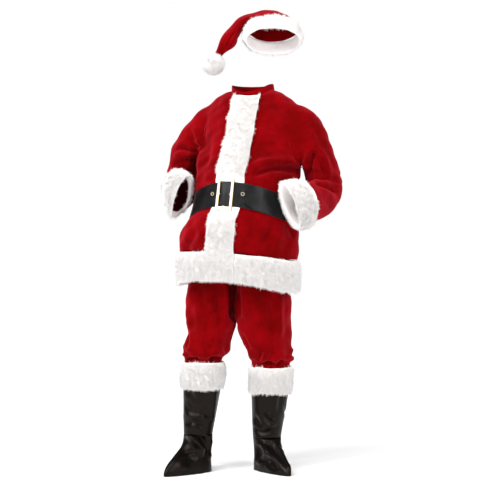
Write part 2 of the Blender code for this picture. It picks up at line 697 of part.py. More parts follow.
BOOT_COLUMNS = 24
BOOTS = {  # where the ankle stands, where the toe points, and where the shaft's top is
    "right": {"ankle": (-0.213, -0.046), "turn": -22, "top": (-0.196, -0.032), "top_height": 0.450},
    "left": {"ankle": (0.030, 0.085), "turn": 47, "top": (0.058, 0.056), "top_height": 0.434},
}
# Rings of a boot cover about its ankle. drop is measured down from the top of its fur, or up from the floor for
# the foot. front and back are how far the ring reaches before and behind the ankle.
BOOT_SHAFT = read_table(
    "name drop half_width front back lean",
    [
        ("top", 0.000, 0.0755, 0.077, 0.077, 0.0),
        ("fur_middle", 0.058, 0.0760, 0.078, 0.078, 0.1),
        ("fur_bottom", 0.117, 0.0735, 0.076, 0.076, 0.25),
        ("calf", 0.165, 0.0685, 0.071, 0.071, 0.45),
        ("shaft", 0.225, 0.0630, 0.066, 0.065, 0.7),
        ("shaft_low", 0.270, 0.0580, 0.061, 0.060, 0.9),
        ("ankle", 0.302, 0.0545, 0.059, 0.057, 1.0),
    ],
)
BOOT_FOOT = read_table(
    "name height half_width front back",
    [
        ("instep_top", 0.112, 0.0520, 0.072, 0.055),
        ("instep", 0.088, 0.0505, 0.106, 0.053),
        ("vamp", 0.064, 0.0495, 0.142, 0.052),
        ("toe_top", 0.042, 0.0495, 0.172, 0.052),
        ("toe", 0.020, 0.0505, 0.189, 0.054),
        ("edge", 0.0019, 0.0510, 0.190, 0.055),
    ],
)
ELASTIC_WIDTH = 0.025
ELASTIC_THICKNESS = 0.0016


def boot_outline(centre, turn, half_width, front, back, height, point=0.0):
    """A ring about the ankle. point narrows it towards the toe."""
    toe = Vector((math.sin(turn), -math.cos(turn), 0))
    side = Vector((math.cos(turn), math.sin(turn), 0))
    points = []
    for angle in even_angles(BOOT_COLUMNS):
        ahead, across = math.cos(angle), math.sin(angle)
        reach = front if ahead > 0 else back
        narrow = 1 - point * max(ahead, 0) ** 2
        flat = centre + toe * reach * ahead + side * half_width * across * narrow
        points.append(Vector((flat.x, flat.y, height - NECK_HEIGHT)))
    return points


def build_boot(side):
    boot = BOOTS[side]
    turn = math.radians(boot["turn"])
    ankle, top = Vector((*boot["ankle"], 0)), Vector((*boot["top"], 0))
    surface = Surface()
    rows = {}
    for ring in BOOT_SHAFT:
        centre = top.lerp(ankle, ring["lean"])
        height = boot["top_height"] - ring["drop"]
        rows[ring["name"]] = surface.add_row(
            boot_outline(centre, turn, ring["half_width"], ring["front"], ring["back"], height)
        )
    for ring in BOOT_FOOT:
        point = 0.3 * ring["front"] / BOOT_FOOT[-1]["front"]
        rows[ring["name"]] = surface.add_row(
            boot_outline(
                ankle, turn, ring["half_width"], ring["front"], ring["back"], ring["height"], point
            )
        )
    names = list(rows)
    for upper, lower in zip(names, names[1:]):
        piece = "vamp"
        if lower in ("fur_middle", "fur_bottom"):
            piece = "fur"
        elif lower in [ring["name"] for ring in BOOT_SHAFT]:
            piece = "shaft"
        surface.join_rows(rows[lower], rows[upper], piece)
    pile = pile_by_row((rows["top"], rows["fur_bottom"]), (rows["fur_middle"],))
    cut_piece("boot_fur_" + side, surface, surface.faces["fur"], "white_fur", pile)
    cut_piece("boot_shaft_" + side, surface, surface.faces["shaft"], "black_vinyl", VINYL)
    cut_piece("boot_vamp_" + side, surface, surface.faces["vamp"], "black_vinyl", VINYL)
    build_elastic(side, ankle, turn)


def build_elastic(side, ankle, turn):
    """The band that passes under the foot, from one side of the vamp's lower edge to the other."""
    length = 2 * BOOT_FOOT[-1]["half_width"]
    bm = bmesh.new()
    bmesh.ops.create_cube(bm, size=1)
    bmesh.ops.scale(bm, verts=bm.verts, vec=(length, ELASTIC_WIDTH, ELASTIC_THICKNESS))
    centre = from_floor(ankle.x, ankle.y, ELASTIC_THICKNESS / 2)
    centre += Vector((math.sin(turn), -math.cos(turn), 0)) * 0.035
    bm.transform(Matrix.Translation(centre) @ Matrix.Rotation(turn, 4, "Z"))
    add_object("boot_elastic_" + side, bm, "black_elastic")


# ---------------------------------------------------------------- hat

HAT_TURN = math.radians(20)  # the head looks this far to the left of the jacket's front
HAT_COLUMNS = 28
# Rings of the hat. Each spans two places in the upright plane in which the crown flops over: right_x and right_z
# where its outer side passes, left_x and left_z for its inner side. ahead is how far its centre stands towards the
# front, half_depth its reach across that plane, and tilt how far its front side stands above its middle.
HAT_RINGS = read_table(
    "name right_x right_z left_x left_z ahead half_depth tilt",
    [
        ("brim_edge", 0.182, 1.692, -0.023, 1.696, 0.036, 0.103, 0.036),
        ("brim_middle", 0.182, 1.718, -0.023, 1.722, 0.028, 0.104, 0.036),
        ("brim_seam", 0.176, 1.744, -0.018, 1.748, 0.020, 0.098, 0.034),
        ("crown_low", 0.160, 1.775, -0.026, 1.764, 0.010, 0.092, 0.020),
        ("crown", 0.112, 1.812, -0.042, 1.762, 0.002, 0.082, 0.010),
        ("crown_top", 0.052, 1.820, -0.050, 1.748, 0.000, 0.070, 0.004),
        ("bend", -0.004, 1.816, -0.055, 1.731, 0.002, 0.058, 0),
        ("fall", -0.051, 1.795, -0.059, 1.716, 0.004, 0.048, 0),
        ("fall_low", -0.090, 1.759, -0.063, 1.702, 0.006, 0.040, 0),
        ("tail", -0.118, 1.719, -0.072, 1.686, 0.007, 0.033, 0),
        ("tail_low", -0.135, 1.684, -0.093, 1.668, 0.008, 0.024, 0),
        ("tip", -0.147, 1.656, -0.120, 1.648, 0.008, 0.013, 0),
        ("tip_end", -0.1551, 1.6314, -0.1377, 1.6216, 0.008, 0.010, 0),
    ],
)
POMPOM_CENTRE = (-0.158, 0.008, 1.606)  # across, ahead, height
POMPOM_RADIUS = 0.041
POMPOM_SEAT = 0.67  # no lock stands within this cosine of the crown's tail
POMPOM_CORE = 0.026


def hat_place(across, ahead, height):
    """A place in the hat's own upright plane, in the suit's frame."""
    flat = Vector((math.cos(HAT_TURN), math.sin(HAT_TURN), 0)) * across
    flat += Vector((math.sin(HAT_TURN), -math.cos(HAT_TURN), 0)) * ahead
    return from_floor(flat.x, flat.y, height)


def build_hat():
    surface = Surface()
    rows = {}
    for ring in HAT_RINGS:
        points = []
        for angle in even_angles(HAT_COLUMNS, math.pi / 2):
            across, ahead = math.sin(angle), math.cos(angle)
            share = (1 - across) / 2
            points.append(
                hat_place(
                    mix(ring["right_x"], ring["left_x"], share),
                    ring["ahead"] + ring["half_depth"] * ahead,
                    mix(ring["right_z"], ring["left_z"], share) + ring["tilt"] * ahead,
                )
            )
        rows[ring["name"]] = surface.add_row(points)
    names = list(rows)
    half = HAT_COLUMNS // 2
    for near, far in zip(names, names[1:]):
        if far in ("brim_middle", "brim_seam"):
            surface.join_rows(rows[near], rows[far], "brim")
        else:
            surface.join_rows(rows[near], rows[far], lambda column: "front" if column >= half else "back")
    pile = pile_by_row((rows["brim_edge"], rows["brim_seam"]), (rows["brim_middle"],))
    cut_piece("hat_brim_fur", surface, surface.faces["brim"], "white_fur", pile)
    for piece in ("front", "back"):
        cut_piece("hat_crown_" + piece, surface, surface.faces[piece], "red_plush", PLUSH)
    build_pompom()


def build_pompom():
    """A ball of locks: each face of a small ball is drawn out into a three-sided lock."""
    tip = HAT_RINGS[-2]
    middle = hat_place(*POMPOM_CENTRE)
    tail = hat_place((tip["right_x"] + tip["left_x"]) / 2, tip["ahead"], (tip["right_z"] + tip["left_z"]) / 2)
    tail = (tail - middle).normalized()
    bm = bmesh.new()
    bmesh.ops.create_icosphere(bm, subdivisions=2, radius=POMPOM_CORE)
    for face in list(bm.faces):
        out = face.calc_center_median().normalized()
        if out.dot(tail) > POMPOM_SEAT:
            continue
        bmesh.ops.inset_individual(bm, faces=[face], thickness=0.0006)
        bmesh.ops.translate(bm, verts=list(face.verts), vec=out * 0.004)
        bmesh.ops.poke(bm, faces=[face])["verts"][0].co = out * POMPOM_RADIUS
    bmesh.ops.translate(bm, verts=bm.verts, vec=middle)
    add_object("hat_pompom", bm, "white_fur")


def main():
    for old in list(bpy.data.objects):
        bpy.data.objects.remove(old)
    bpy.context.scene.collection.children.link(SUIT)
    surface, rows = build_jacket()
    build_belt(BeltPath(surface, rows))
    build_trousers()
    for side in ("left", "right"):
        build_boot(side)
    build_hat()


main()
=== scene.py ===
# %% [markdown]
# # A santa suit
# A plush jacket and trousers, a floppy hat, a belt and boot covers, held in the pose in which they are
# worn. The solids that hold the suit's sizes are loaded first and stay where they are. Everything that a
# hand would feel, such as nap, fur, creases and grain, is then made on their forms.

# %% Load the solids
import math

import bpy
import numpy as np
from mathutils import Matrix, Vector


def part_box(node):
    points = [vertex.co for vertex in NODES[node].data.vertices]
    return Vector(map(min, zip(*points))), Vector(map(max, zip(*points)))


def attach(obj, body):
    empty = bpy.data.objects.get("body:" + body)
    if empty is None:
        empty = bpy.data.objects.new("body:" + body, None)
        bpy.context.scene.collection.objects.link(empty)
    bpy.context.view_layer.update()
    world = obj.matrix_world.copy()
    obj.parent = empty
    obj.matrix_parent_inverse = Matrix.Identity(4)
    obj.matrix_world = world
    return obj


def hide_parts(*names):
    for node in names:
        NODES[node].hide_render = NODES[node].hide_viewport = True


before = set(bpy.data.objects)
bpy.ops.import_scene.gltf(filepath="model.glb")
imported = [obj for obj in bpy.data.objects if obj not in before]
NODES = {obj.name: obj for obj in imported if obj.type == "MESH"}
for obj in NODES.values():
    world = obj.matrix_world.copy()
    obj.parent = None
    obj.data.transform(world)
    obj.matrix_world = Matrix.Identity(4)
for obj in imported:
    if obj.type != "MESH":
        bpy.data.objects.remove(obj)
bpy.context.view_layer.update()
NECK_HEIGHT = 1.505  # the origin is the middle of the neck opening, this far above the floor

# %% [markdown]
# The eye stands a little to the suit's left, level with the belt, five and a half metres away. A long
# lens from that far keeps hat and boots in true proportion. The middle of the view lies a little beside
# the suit's own axis, so the camera steps aside rather than turning.

# %% Place the camera
EYE_AZIMUTH = math.radians(20)
EYE_DISTANCE = 5.5
EYE_HEIGHT = 0.9
EYE_ASIDE = -0.032
LENS, FILM_WIDTH = 102.5, 36  # millimetres

scene = bpy.context.scene
camera_data = bpy.data.cameras.new("camera")
camera_data.lens = LENS
camera_data.sensor_width = FILM_WIDTH
camera = bpy.data.objects.new("camera", camera_data)
scene.collection.objects.link(camera)
camera.location = (
    EYE_ASIDE * math.cos(EYE_AZIMUTH) + EYE_DISTANCE * math.sin(EYE_AZIMUTH),
    EYE_ASIDE * math.sin(EYE_AZIMUTH) - EYE_DISTANCE * math.cos(EYE_AZIMUTH),
    EYE_HEIGHT - NECK_HEIGHT,
)
camera.rotation_euler = (math.pi / 2, 0, EYE_AZIMUTH)
scene.camera = camera
print("camera at", [round(x, 3) for x in camera.location])

# %% [markdown]
# Plush and white fur look their best in soft light, so the room is white all round. Three skies are
# mixed: one fills the shadows, one is what shiny things mirror, and one is the backdrop. The mirrored one
# is dim, as if the room behind the eye were dark, so that black vinyl stays black. The standard view
# transform keeps white fur white and red plush a pure red.

# %% Make the white room
BACKDROP, SKY_FILL, SKY_MIRRORED = 1.0, 0.77, 0.16

world = bpy.data.worlds.new("white_sky")
world.use_nodes = True
sky_tree = world.node_tree
sky_tree.nodes.remove(sky_tree.nodes["Background"])
ray = sky_tree.nodes.new("ShaderNodeLightPath").outputs


def white_sky(strength):
    sky = sky_tree.nodes.new("ShaderNodeBackground")
    sky.inputs["Color"].default_value = (1, 1, 1, 1)
    sky.inputs["Strength"].default_value = strength
    return sky.outputs[0]


def choose_sky(kind_of_ray, for_others, for_this_kind):
    choice = sky_tree.nodes.new("ShaderNodeMixShader")
    for socket, output in zip(choice.inputs, (ray[kind_of_ray], for_others, for_this_kind)):
        sky_tree.links.new(output, socket)
    return choice.outputs[0]


lighting = choose_sky("Is Glossy Ray", white_sky(SKY_FILL), white_sky(SKY_MIRRORED))
whole_sky = choose_sky("Is Camera Ray", lighting, white_sky(BACKDROP))
sky_tree.links.new(whole_sky, sky_tree.nodes["World Output"].inputs["Surface"])
scene.world = world
scene.view_settings.view_transform = "Standard"
print("skies: fill", SKY_FILL, "mirrored", SKY_MIRRORED, "backdrop", BACKDROP)

# %% [markdown]
# A broad sun from the front lights suit and floor alike. Two tall lamps beside the eye, and a small one
# above, give the vinyl and the buckle something bright to mirror. Each is aimed at the jacket's hem,
# which is near the middle of the suit.

# %% Hang the lamps
AIM = Vector((0, 0, -0.6))
SUN_PLACE, SUN_STRENGTH, SUN_SPREAD = (-0.7, -4.2, 3.0), 2.2, math.radians(50)
LAMPS = {  # name: (place, width, height, power)
    "key_lamp": ((-2.0, -3.8, 1.2), 0.9, 2.2, 95),
    "fill_lamp": ((3.3, -2.2, 0.6), 0.6, 2.2, 70),
    "top_lamp": ((-0.8, -2.3, 2.6), 0.9, 0.9, 14),
}


def hang(light, place):
    holder = bpy.data.objects.new(light.name, light)
    scene.collection.objects.link(holder)
    holder.location = place
    holder.rotation_euler = (AIM - Vector(place)).to_track_quat("-Z", "Y").to_euler()


sun = bpy.data.lights.new("sun", "SUN")
sun.energy = SUN_STRENGTH
sun.angle = SUN_SPREAD
hang(sun, SUN_PLACE)
for name, (place, width, height, power) in LAMPS.items():
    lamp = bpy.data.lights.new(name, "AREA")
    lamp.shape = "RECTANGLE"
    lamp.size = width
    lamp.size_y = height
    lamp.energy = power
    hang(lamp, place)
print("lamps:", len(LAMPS))

# %% [markdown]
# The floor is one wide, pale, matt sheet, so that the boots stand on something and nothing else is seen.
# It lies half a millimetre below the soles.

# %% Lay the floor
FLOOR_SIZE, FLOOR_GAP = 60, 0.0005
FLOOR_PAINT, FLOOR_ROUGHNESS = (0.96, 0.96, 0.96, 1), 0.9

bpy.ops.object.select_all(action="DESELECT")
bpy.ops.mesh.primitive_plane_add(size=FLOOR_SIZE, location=(0, 0, -NECK_HEIGHT - FLOOR_GAP))
floor = bpy.context.object
floor.name = "studio_floor"
floor_paint = bpy.data.materials.new("floor_paint")
floor_paint.use_nodes = True
floor_shader = floor_paint.node_tree.nodes["Principled BSDF"]
floor_shader.inputs["Base Color"].default_value = FLOOR_PAINT
floor_shader.inputs["Roughness"].default_value = FLOOR_ROUGHNESS
floor.data.materials.append(floor_paint)
print("floor at", round(floor.location.z, 4))

# %% [markdown]
# ## Finishes
# Each finish is a Principled shader fed by a few noises. Two sets of noises serve several finishes, so
# they are node groups: one gives slow blotches with fine grain for cloth, fur and metal, the other the
# cells of pressed leather. A small helper adds a node and joins its inputs, which keeps each finish short
# to read.

# %% Helpers for node trees
def join_or_set(tree, socket, value):
    """Joins another node's output to a socket, or sets the socket to a number or a colour."""
    if isinstance(value, bpy.types.NodeSocket):
        tree.links.new(value, socket)
    else:
        socket.default_value = value


def add_node(tree, kind, inputs=None, **settings):
    """Adds a node. Each value in inputs is a number, a colour or another node's output to join."""
    node = tree.nodes.new(kind)
    for setting, value in settings.items():
        setattr(node, setting, value)
    for key, value in (inputs or {}).items():
        join_or_set(tree, node.inputs[key], value)
    return node


def new_group(name, kind, inputs, outputs):
    """A node group with named sockets, given as name: (socket type, value), and the ends to join."""
    group = bpy.data.node_groups.new(name, kind)
    for label, (socket_type, value) in inputs.items():
        socket = group.interface.new_socket(label, in_out="INPUT", socket_type=socket_type)
        if value is not None:
            socket.default_value = value
    for label, socket_type in outputs.items():
        group.interface.new_socket(label, in_out="OUTPUT", socket_type=socket_type)
    return group, group.nodes.new("NodeGroupInput").outputs, group.nodes.new("NodeGroupOutput").inputs


def new_finish(name):
    """A material with its own Principled shader, ready to be fed."""
    finish = bpy.data.materials.new(name)
    finish.use_nodes = True
    return finish, finish.node_tree, finish.node_tree.nodes["Principled BSDF"]


def set_shader(shader, **values):
    for label, value in values.items():
        join_or_set(shader.id_data, shader.inputs[label.replace("_", " ")], value)


# %% [markdown]
# Four kinds of node come again in most of the trees, so each has a helper that hands on its result. One
# stretches a range of values to another, one calculates, one mixes two colours, and one turns heights
# into bumps.

# %% Helpers for the nodes that come again
def ramp(tree, value, low, high, to_low=0.0, to_high=1.0, **settings):
    """Stretches the values between low and high to those between to_low and to_high."""
    ends = {"Value": value, "From Min": low, "From Max": high, "To Min": to_low, "To Max": to_high}
    return add_node(tree, "ShaderNodeMapRange", ends, **settings).outputs[0]


def calculate(tree, operation, first, second, **settings):
    numbers = {0: first, 1: second}
    return add_node(tree, "ShaderNodeMath", numbers, operation=operation, **settings).outputs[0]


def mix_colours(tree, share, first, second):
    ends = {"Factor": share, 6: first, 7: second}  # sockets 6 and 7 are the node's two colours
    return add_node(tree, "ShaderNodeMix", ends, data_type="RGBA").outputs[2]


def bump(tree, height, strength, distance):
    values = {"Strength": strength, "Distance": distance, "Height": height}
    return add_node(tree, "ShaderNodeBump", values).outputs[0]


# %% [markdown]
# All cloth is uneven in three sizes: slow blotches where hands have stroked it, streaks that run down the
# nap, and fine grain. One group gives all three, and each finish chooses their sizes. The gilt metal
# takes the blotches alone, for its uneven gloss.

# %% The blotches and grain that finishes share
FLOAT = "NodeSocketFloat"
DOWN_THE_NAP = (1.0, 1.0, 0.28)  # streaks change this much more slowly up and down

grain_group, grain_in, grain_out = new_group(
    "Nap_and_grain",
    "ShaderNodeTree",
    {"Blotch size": (FLOAT, 9.0), "Streak size": (FLOAT, 60.0), "Grain size": (FLOAT, 900.0)},
    {"Blotches": FLOAT, "Streaks": FLOAT, "Grain": FLOAT},
)
place = add_node(grain_group, "ShaderNodeTexCoord").outputs["Object"]
drawn_out = add_node(grain_group, "ShaderNodeMapping", {"Vector": place, "Scale": DOWN_THE_NAP}).outputs[0]
NOISES = {  # output: (where it is read, the input that holds its size, what else it is given)
    "Blotches": (place, "Blotch size", {"Detail": 4.0, "Roughness": 0.6}),
    "Streaks": (drawn_out, "Streak size", {"Detail": 3.0, "Distortion": 0.4}),
    "Grain": (place, "Grain size", {"Detail": 2.0, "Roughness": 0.7}),
}
for label, (where, size, more) in NOISES.items():
    noise = add_node(grain_group, "ShaderNodeTexNoise", {"Vector": where, "Scale": grain_in[size], **more})
    grain_group.links.new(noise.outputs[0], grain_out[label])


def nap_noises(tree, **sizes):
    """The group, placed in a finish. A size that isn't given stays as the group has it."""
    inputs = {label.replace("_", " "): size for label, size in sizes.items()}
    return add_node(tree, "ShaderNodeGroup", inputs, node_tree=grain_group).outputs


print("group:", grain_group.name, list(NOISES))

# %% [markdown]
# Plush is a knitted cloth with a short pile. Its colour is painted lighter in streaks where the surface is
# seen aslant: that is painted sheen, for the pile showing its sides, and Layer Weight gives it. The
# shader's own sheen adds the pale bloom along edges, and the blotches, where hands and folds have stroked
# the pile another way, shift the red between deep and mid.

# %% The red plush
PLUSH_DEEP = (0.108, 0.0002, 0.0005, 1)
PLUSH_MID = (0.188, 0.0004, 0.0020, 1)
# painted sheen: the lighter red that is painted where the plush is seen aslant
PLUSH_PAINTED_SHEEN = (0.300, 0.006, 0.014, 1)
PLUSH_SHEEN = (1.0, 0.16, 0.19, 1)
PAINTED_SHEEN_STRENGTH = 1.5
BRUSHED_AT = (0.38, 0.66)  # the values of the blotches between which the pile turns over
ASLANT_AT = (0.12, 0.85)  # from facing the eye to almost edge on
PILE_RELIEF = (0.35, 0.0012)  # strength, and depth in metres

red_plush, tree, shader = new_finish("velvety_plush")
nap = nap_noises(tree)
pile_colour = mix_colours(tree, ramp(tree, nap["Blotches"], *BRUSHED_AT), PLUSH_DEEP, PLUSH_MID)
# painted sheen: Layer Weight lightens the colour where the surface is seen aslant, in streaks
aslant = add_node(tree, "ShaderNodeLayerWeight", {"Blend": 0.42}).outputs["Facing"]
bloom = ramp(tree, aslant, *ASLANT_AT, to_high=0.9, interpolation_type="SMOOTHSTEP")
streaked = calculate(tree, "MULTIPLY", bloom, nap["Streaks"])
painted_sheen_share = calculate(tree, "MULTIPLY", streaked, PAINTED_SHEEN_STRENGTH, use_clamp=True)
rough_height = calculate(tree, "ADD", nap["Grain"], nap["Streaks"])
set_shader(
    shader,
    Base_Color=mix_colours(tree, painted_sheen_share, pile_colour, PLUSH_PAINTED_SHEEN),
    Normal=bump(tree, rough_height, *PILE_RELIEF),
    Roughness=0.9,
    Sheen_Weight=0.12,
    Sheen_Roughness=0.4,
    Sheen_Tint=PLUSH_SHEEN,
    Specular_IOR_Level=0.02,
)
print("finish:", red_plush.name)

# %% [markdown]
# The fur's strands are painted a little darker at their roots, as painted shade where their neighbours
# shade them, and nearly white at their tips. Each strand carries that position in an attribute, which the
# finish reads.

# %% The white fur
# painted shade at each strand's root, where its neighbours shade it
FUR_ROOT_SHADE = (0.86, 0.825, 0.805, 1)
FUR_TIP = (0.965, 0.944, 0.930, 1)
FUR_TIP_COOL = (0.96, 0.945, 0.935, 1)
SHADED_SHARE = 0.75  # the share of a strand's length over which it grows lighter

white_fur, tree, shader = new_finish("long_fur")
along = add_node(tree, "ShaderNodeAttribute", attribute_name="along_strand").outputs["Fac"]
nap = nap_noises(tree, Blotch_size=22.0, Streak_size=240.0)
tip_colour = mix_colours(tree, nap["Blotches"], FUR_TIP, FUR_TIP_COOL)
set_shader(
    shader,
    Base_Color=mix_colours(tree, ramp(tree, along, 0.0, SHADED_SHARE), FUR_ROOT_SHADE, tip_colour),
    Roughness=0.75,
    Sheen_Weight=0.25,
    Sheen_Roughness=0.5,
    Specular_IOR_Level=0.2,
)
print("finish:", white_fur.name)

# %% [markdown]
# Between the strands one sees the knitted backing, and inside cuffs and brim it is all that shows. It is
# as white as the strands but duller, with the fuzz of cut loops, which a strong bump gives.

# %% The fur's backing
BACKING_DULL = (0.88, 0.86, 0.845, 1)
BACKING_BRIGHT = (0.97, 0.955, 0.945, 1)
FUZZ_RELIEF = (0.6, 0.002)

fur_backing, tree, shader = new_finish("fur_backing")
nap = nap_noises(tree, Blotch_size=22.0, Streak_size=330.0)
fuzz = calculate(tree, "ADD", nap["Grain"], nap["Streaks"])
set_shader(
    shader,
    Base_Color=mix_colours(tree, nap["Streaks"], BACKING_DULL, BACKING_BRIGHT),
    Normal=bump(tree, fuzz, *FUZZ_RELIEF),
    Roughness=0.9,
    Sheen_Weight=0.4,
    Sheen_Roughness=0.5,
    Specular_IOR_Level=0.15,
)
print("finish:", fur_backing.name)

# %% [markdown]
# The belt is imitation leather: a woven strip with a skin of black plastic, pressed with small cells and
# left satin. The boot covers are thinner vinyl with fainter cells, and a little brown where they are
# worn. Both use one group of cells, at their own sizes.

# %% The pressed cells of leather and vinyl
WEAR_SIZE = 28.0  # worn patches are a few centimetres wide

cells_group, cells_in, cells_out = new_group(
    "Pressed_cells",
    "ShaderNodeTree",
    {"Cell size": (FLOAT, 700.0), "Softness": (FLOAT, 0.4)},
    {"Height": FLOAT, "Wear": FLOAT},
)
place = add_node(cells_group, "ShaderNodeTexCoord").outputs["Object"]
cells = add_node(
    cells_group,
    "ShaderNodeTexVoronoi",
    {"Vector": place, "Scale": cells_in["Cell size"], "Randomness": 0.9},
    feature="DISTANCE_TO_EDGE",
).outputs["Distance"]
rounded = ramp(cells_group, cells, 0.0, cells_in["Softness"], interpolation_type="SMOOTHSTEP")
patches = {"Vector": place, "Scale": WEAR_SIZE, "Detail": 5.0, "Roughness": 0.65}
cells_group.links.new(rounded, cells_out["Height"])
cells_group.links.new(add_node(cells_group, "ShaderNodeTexNoise", patches).outputs[0], cells_out["Wear"])
print("group:", cells_group.name)

# %% [markdown]
# Belt and boot covers are the same kind of skin, so one function makes both finishes. The wear does two
# jobs: it lightens the colour in patches, and it makes the gloss uneven, as on anything that is handled.

# %% Belt leather and boot vinyl
CELL_DEPTH = 0.0003
WORN_AT = (0.42, 0.72)  # the values of the wear between which the colour grows lighter
GLOSS_BELOW, GLOSS_ABOVE = 0.05, 0.12  # how far the roughness strays from its value
WHITE, WARM_WHITE = (1.0, 1.0, 1.0, 1), (1.0, 0.86, 0.78, 1)
SKINS = {  # name: (dark, worn, cell size, roughness, cell strength, specular, tint of what it mirrors)
    "belt_leather": (
        (0.0040, 0.0040, 0.0044, 1), (0.010, 0.010, 0.0105, 1), 620.0, 0.32, 0.25, 0.18, WHITE,
    ),
    "boot_vinyl": (
        (0.0026, 0.0020, 0.0016, 1), (0.0060, 0.0044, 0.0034, 1), 380.0, 0.30, 0.05, 0.12, WARM_WHITE,
    ),
}


def black_skin(name):
    """A black plastic skin with pressed cells, a little lighter and duller where it is worn."""
    dark, worn, cell_size, roughness, cell_strength, specular, tint = SKINS[name]
    finish, tree, shader = new_finish(name)
    skin = add_node(tree, "ShaderNodeGroup", {"Cell size": cell_size}, node_tree=cells_group).outputs
    set_shader(
        shader,
        Base_Color=mix_colours(tree, ramp(tree, skin["Wear"], *WORN_AT), dark, worn),
        Roughness=ramp(tree, skin["Wear"], 0.0, 1.0, roughness - GLOSS_BELOW, roughness + GLOSS_ABOVE),
        Normal=bump(tree, skin["Height"], cell_strength, CELL_DEPTH),
        Specular_IOR_Level=specular,
        Specular_Tint=tint,
    )
    print("finish:", name)
    return finish


black_leather = black_skin("belt_leather")
black_vinyl = black_skin("boot_vinyl")

# %% [markdown]
# The elastic under each boot is a woven tape with ribs across it. A wave texture gives the ribs, and the
# colour is painted darker in the grooves, as painted shade, and lighter on the threads.

# %% The ribbed elastic
# painted shade in the grooves, and the threads' own black
RIB_GROOVE_SHADE, RIB_THREAD = (0.008, 0.008, 0.008, 1), (0.03, 0.03, 0.03, 1)
RIB_SIZE, RIB_RELIEF = 260.0, (0.8, 0.0006)

black_elastic, tree, shader = new_finish("ribbed_elastic")
place = add_node(tree, "ShaderNodeTexCoord").outputs["Object"]
waves = {"Vector": place, "Scale": RIB_SIZE, "Distortion": 0.6}
ribs = add_node(tree, "ShaderNodeTexWave", waves, bands_direction="Y").outputs["Fac"]
set_shader(
    shader,
    Base_Color=mix_colours(tree, ribs, RIB_GROOVE_SHADE, RIB_THREAD),
    Normal=bump(tree, ribs, *RIB_RELIEF),
    Roughness=0.8,
)
print("finish:", black_elastic.name)

# %% [markdown]
# The buckle and the eyelets are stamped metal with a thin gilt coat. Their fronts are painted almost
# white, a painted reflection of the white room, and the rounded edges a darker gold, as painted shade. A
# faint noise in the roughness stands for the wear of a plated part that hands touch.

# %% The gilt metal
BUCKLE_FACES = (0.0, -0.97, 0.24)  # the way that the buckle's front looks
GILT_EDGE_SHADE = (0.46, 0.28, 0.085, 1)  # painted shade: the rolled edges drawn a darker gold
GILT_FACE_REFLECTION = (0.98, 0.94, 0.82, 1)  # painted reflection of the white room on the front
FACE_AT = (0.82, 0.97)  # how well a place has to look ahead, to count as the front
GILT_ROUGHNESS = (0.24, 0.36)

gilt_metal, tree, shader = new_finish("gilt_coat")
nap = nap_noises(tree, Blotch_size=60.0)
outwards = add_node(tree, "ShaderNodeTexCoord").outputs["Normal"]
ahead = add_node(tree, "ShaderNodeVectorMath", {0: outwards, 1: BUCKLE_FACES}, operation="DOT_PRODUCT")
# painted reflection: the places that face ahead are painted near white, the rest darker gold
reflection_share = ramp(tree, ahead.outputs["Value"], *FACE_AT)
set_shader(
    shader,
    Base_Color=mix_colours(tree, reflection_share, GILT_EDGE_SHADE, GILT_FACE_REFLECTION),
    Roughness=ramp(tree, nap["Blotches"], 0.0, 1.0, *GILT_ROUGHNESS),
    Metallic=0.75,
)
print("finish:", gilt_metal.name)

# %% [markdown]
# ## Cloth
# Each plush piece is one layer of cloth. Its solid has an outer and an inner side, so a copy of the solid
# is merged, the narrow rim between the sides is deleted, and the larger side is the cloth as one sees it.
# That keeps every seam where the cutter put it. Subdivision makes the form soft, the creases are pressed
# in, and Solidify gives the cloth its thickness back, inwards.

# %% Helpers for copies and their points
MERGE_REACH = 0.00002  # the solids' triangles are loose: corners this close are one
QUAD_BEND, QUAD_SKEW = math.radians(55), math.radians(70)  # two triangles this unlike still make one face


def select_only(piece):
    bpy.ops.object.select_all(action="DESELECT")
    piece.select_set(True)
    bpy.context.view_layer.objects.active = piece


def copy_of(node, name):
    """A new object on a copy of the solid's mesh, merged and turned back into four-sided faces."""
    piece = bpy.data.objects.new(name, NODES[node].data.copy())
    piece.data.name = name
    scene.collection.objects.link(piece)
    select_only(piece)
    bpy.ops.object.mode_set(mode="EDIT")
    bpy.ops.mesh.select_all(action="SELECT")
    bpy.ops.mesh.remove_doubles(threshold=MERGE_REACH)
    bpy.ops.mesh.tris_convert_to_quads(face_threshold=QUAD_BEND, shape_threshold=QUAD_SKEW)
    bpy.ops.object.mode_set(mode="OBJECT")
    piece.data.materials.clear()
    return piece


def read_points(piece, what):
    """One row of three numbers for each point: its place or its normal."""
    flat = np.empty(len(piece.data.vertices) * 3)
    piece.data.vertices.foreach_get(what, flat)
    return flat.reshape(-1, 3)


def points_of(piece):
    return read_points(piece, "co")


def normals_of(piece):
    return read_points(piece, "normal")


def move_points(piece, points):
    piece.data.vertices.foreach_set("co", points.ravel())
    piece.data.update()


def area_of(piece):
    return sum(face.area for face in piece.data.polygons)


# %% [markdown]
# The rim between a solid's two sides is known by its short edges, which are as long as the wall is thick.
# Once the rim's faces are deleted the two sides come apart, and the larger one is the outer one, because
# it goes round the other.

# %% Keep a solid's outer side
RIM_SLACK = 1.12  # an edge of the rim may be this much longer than the wall is thick


def edit_faces(piece, chosen):
    """Opens a piece in edit mode with just the chosen faces selected."""
    select_only(piece)
    bpy.ops.object.mode_set(mode="EDIT")
    bpy.ops.mesh.select_mode(type="FACE")
    bpy.ops.mesh.select_all(action="DESELECT")
    bpy.ops.object.mode_set(mode="OBJECT")
    piece.data.polygons.foreach_set("select", chosen)
    bpy.ops.object.mode_set(mode="EDIT")


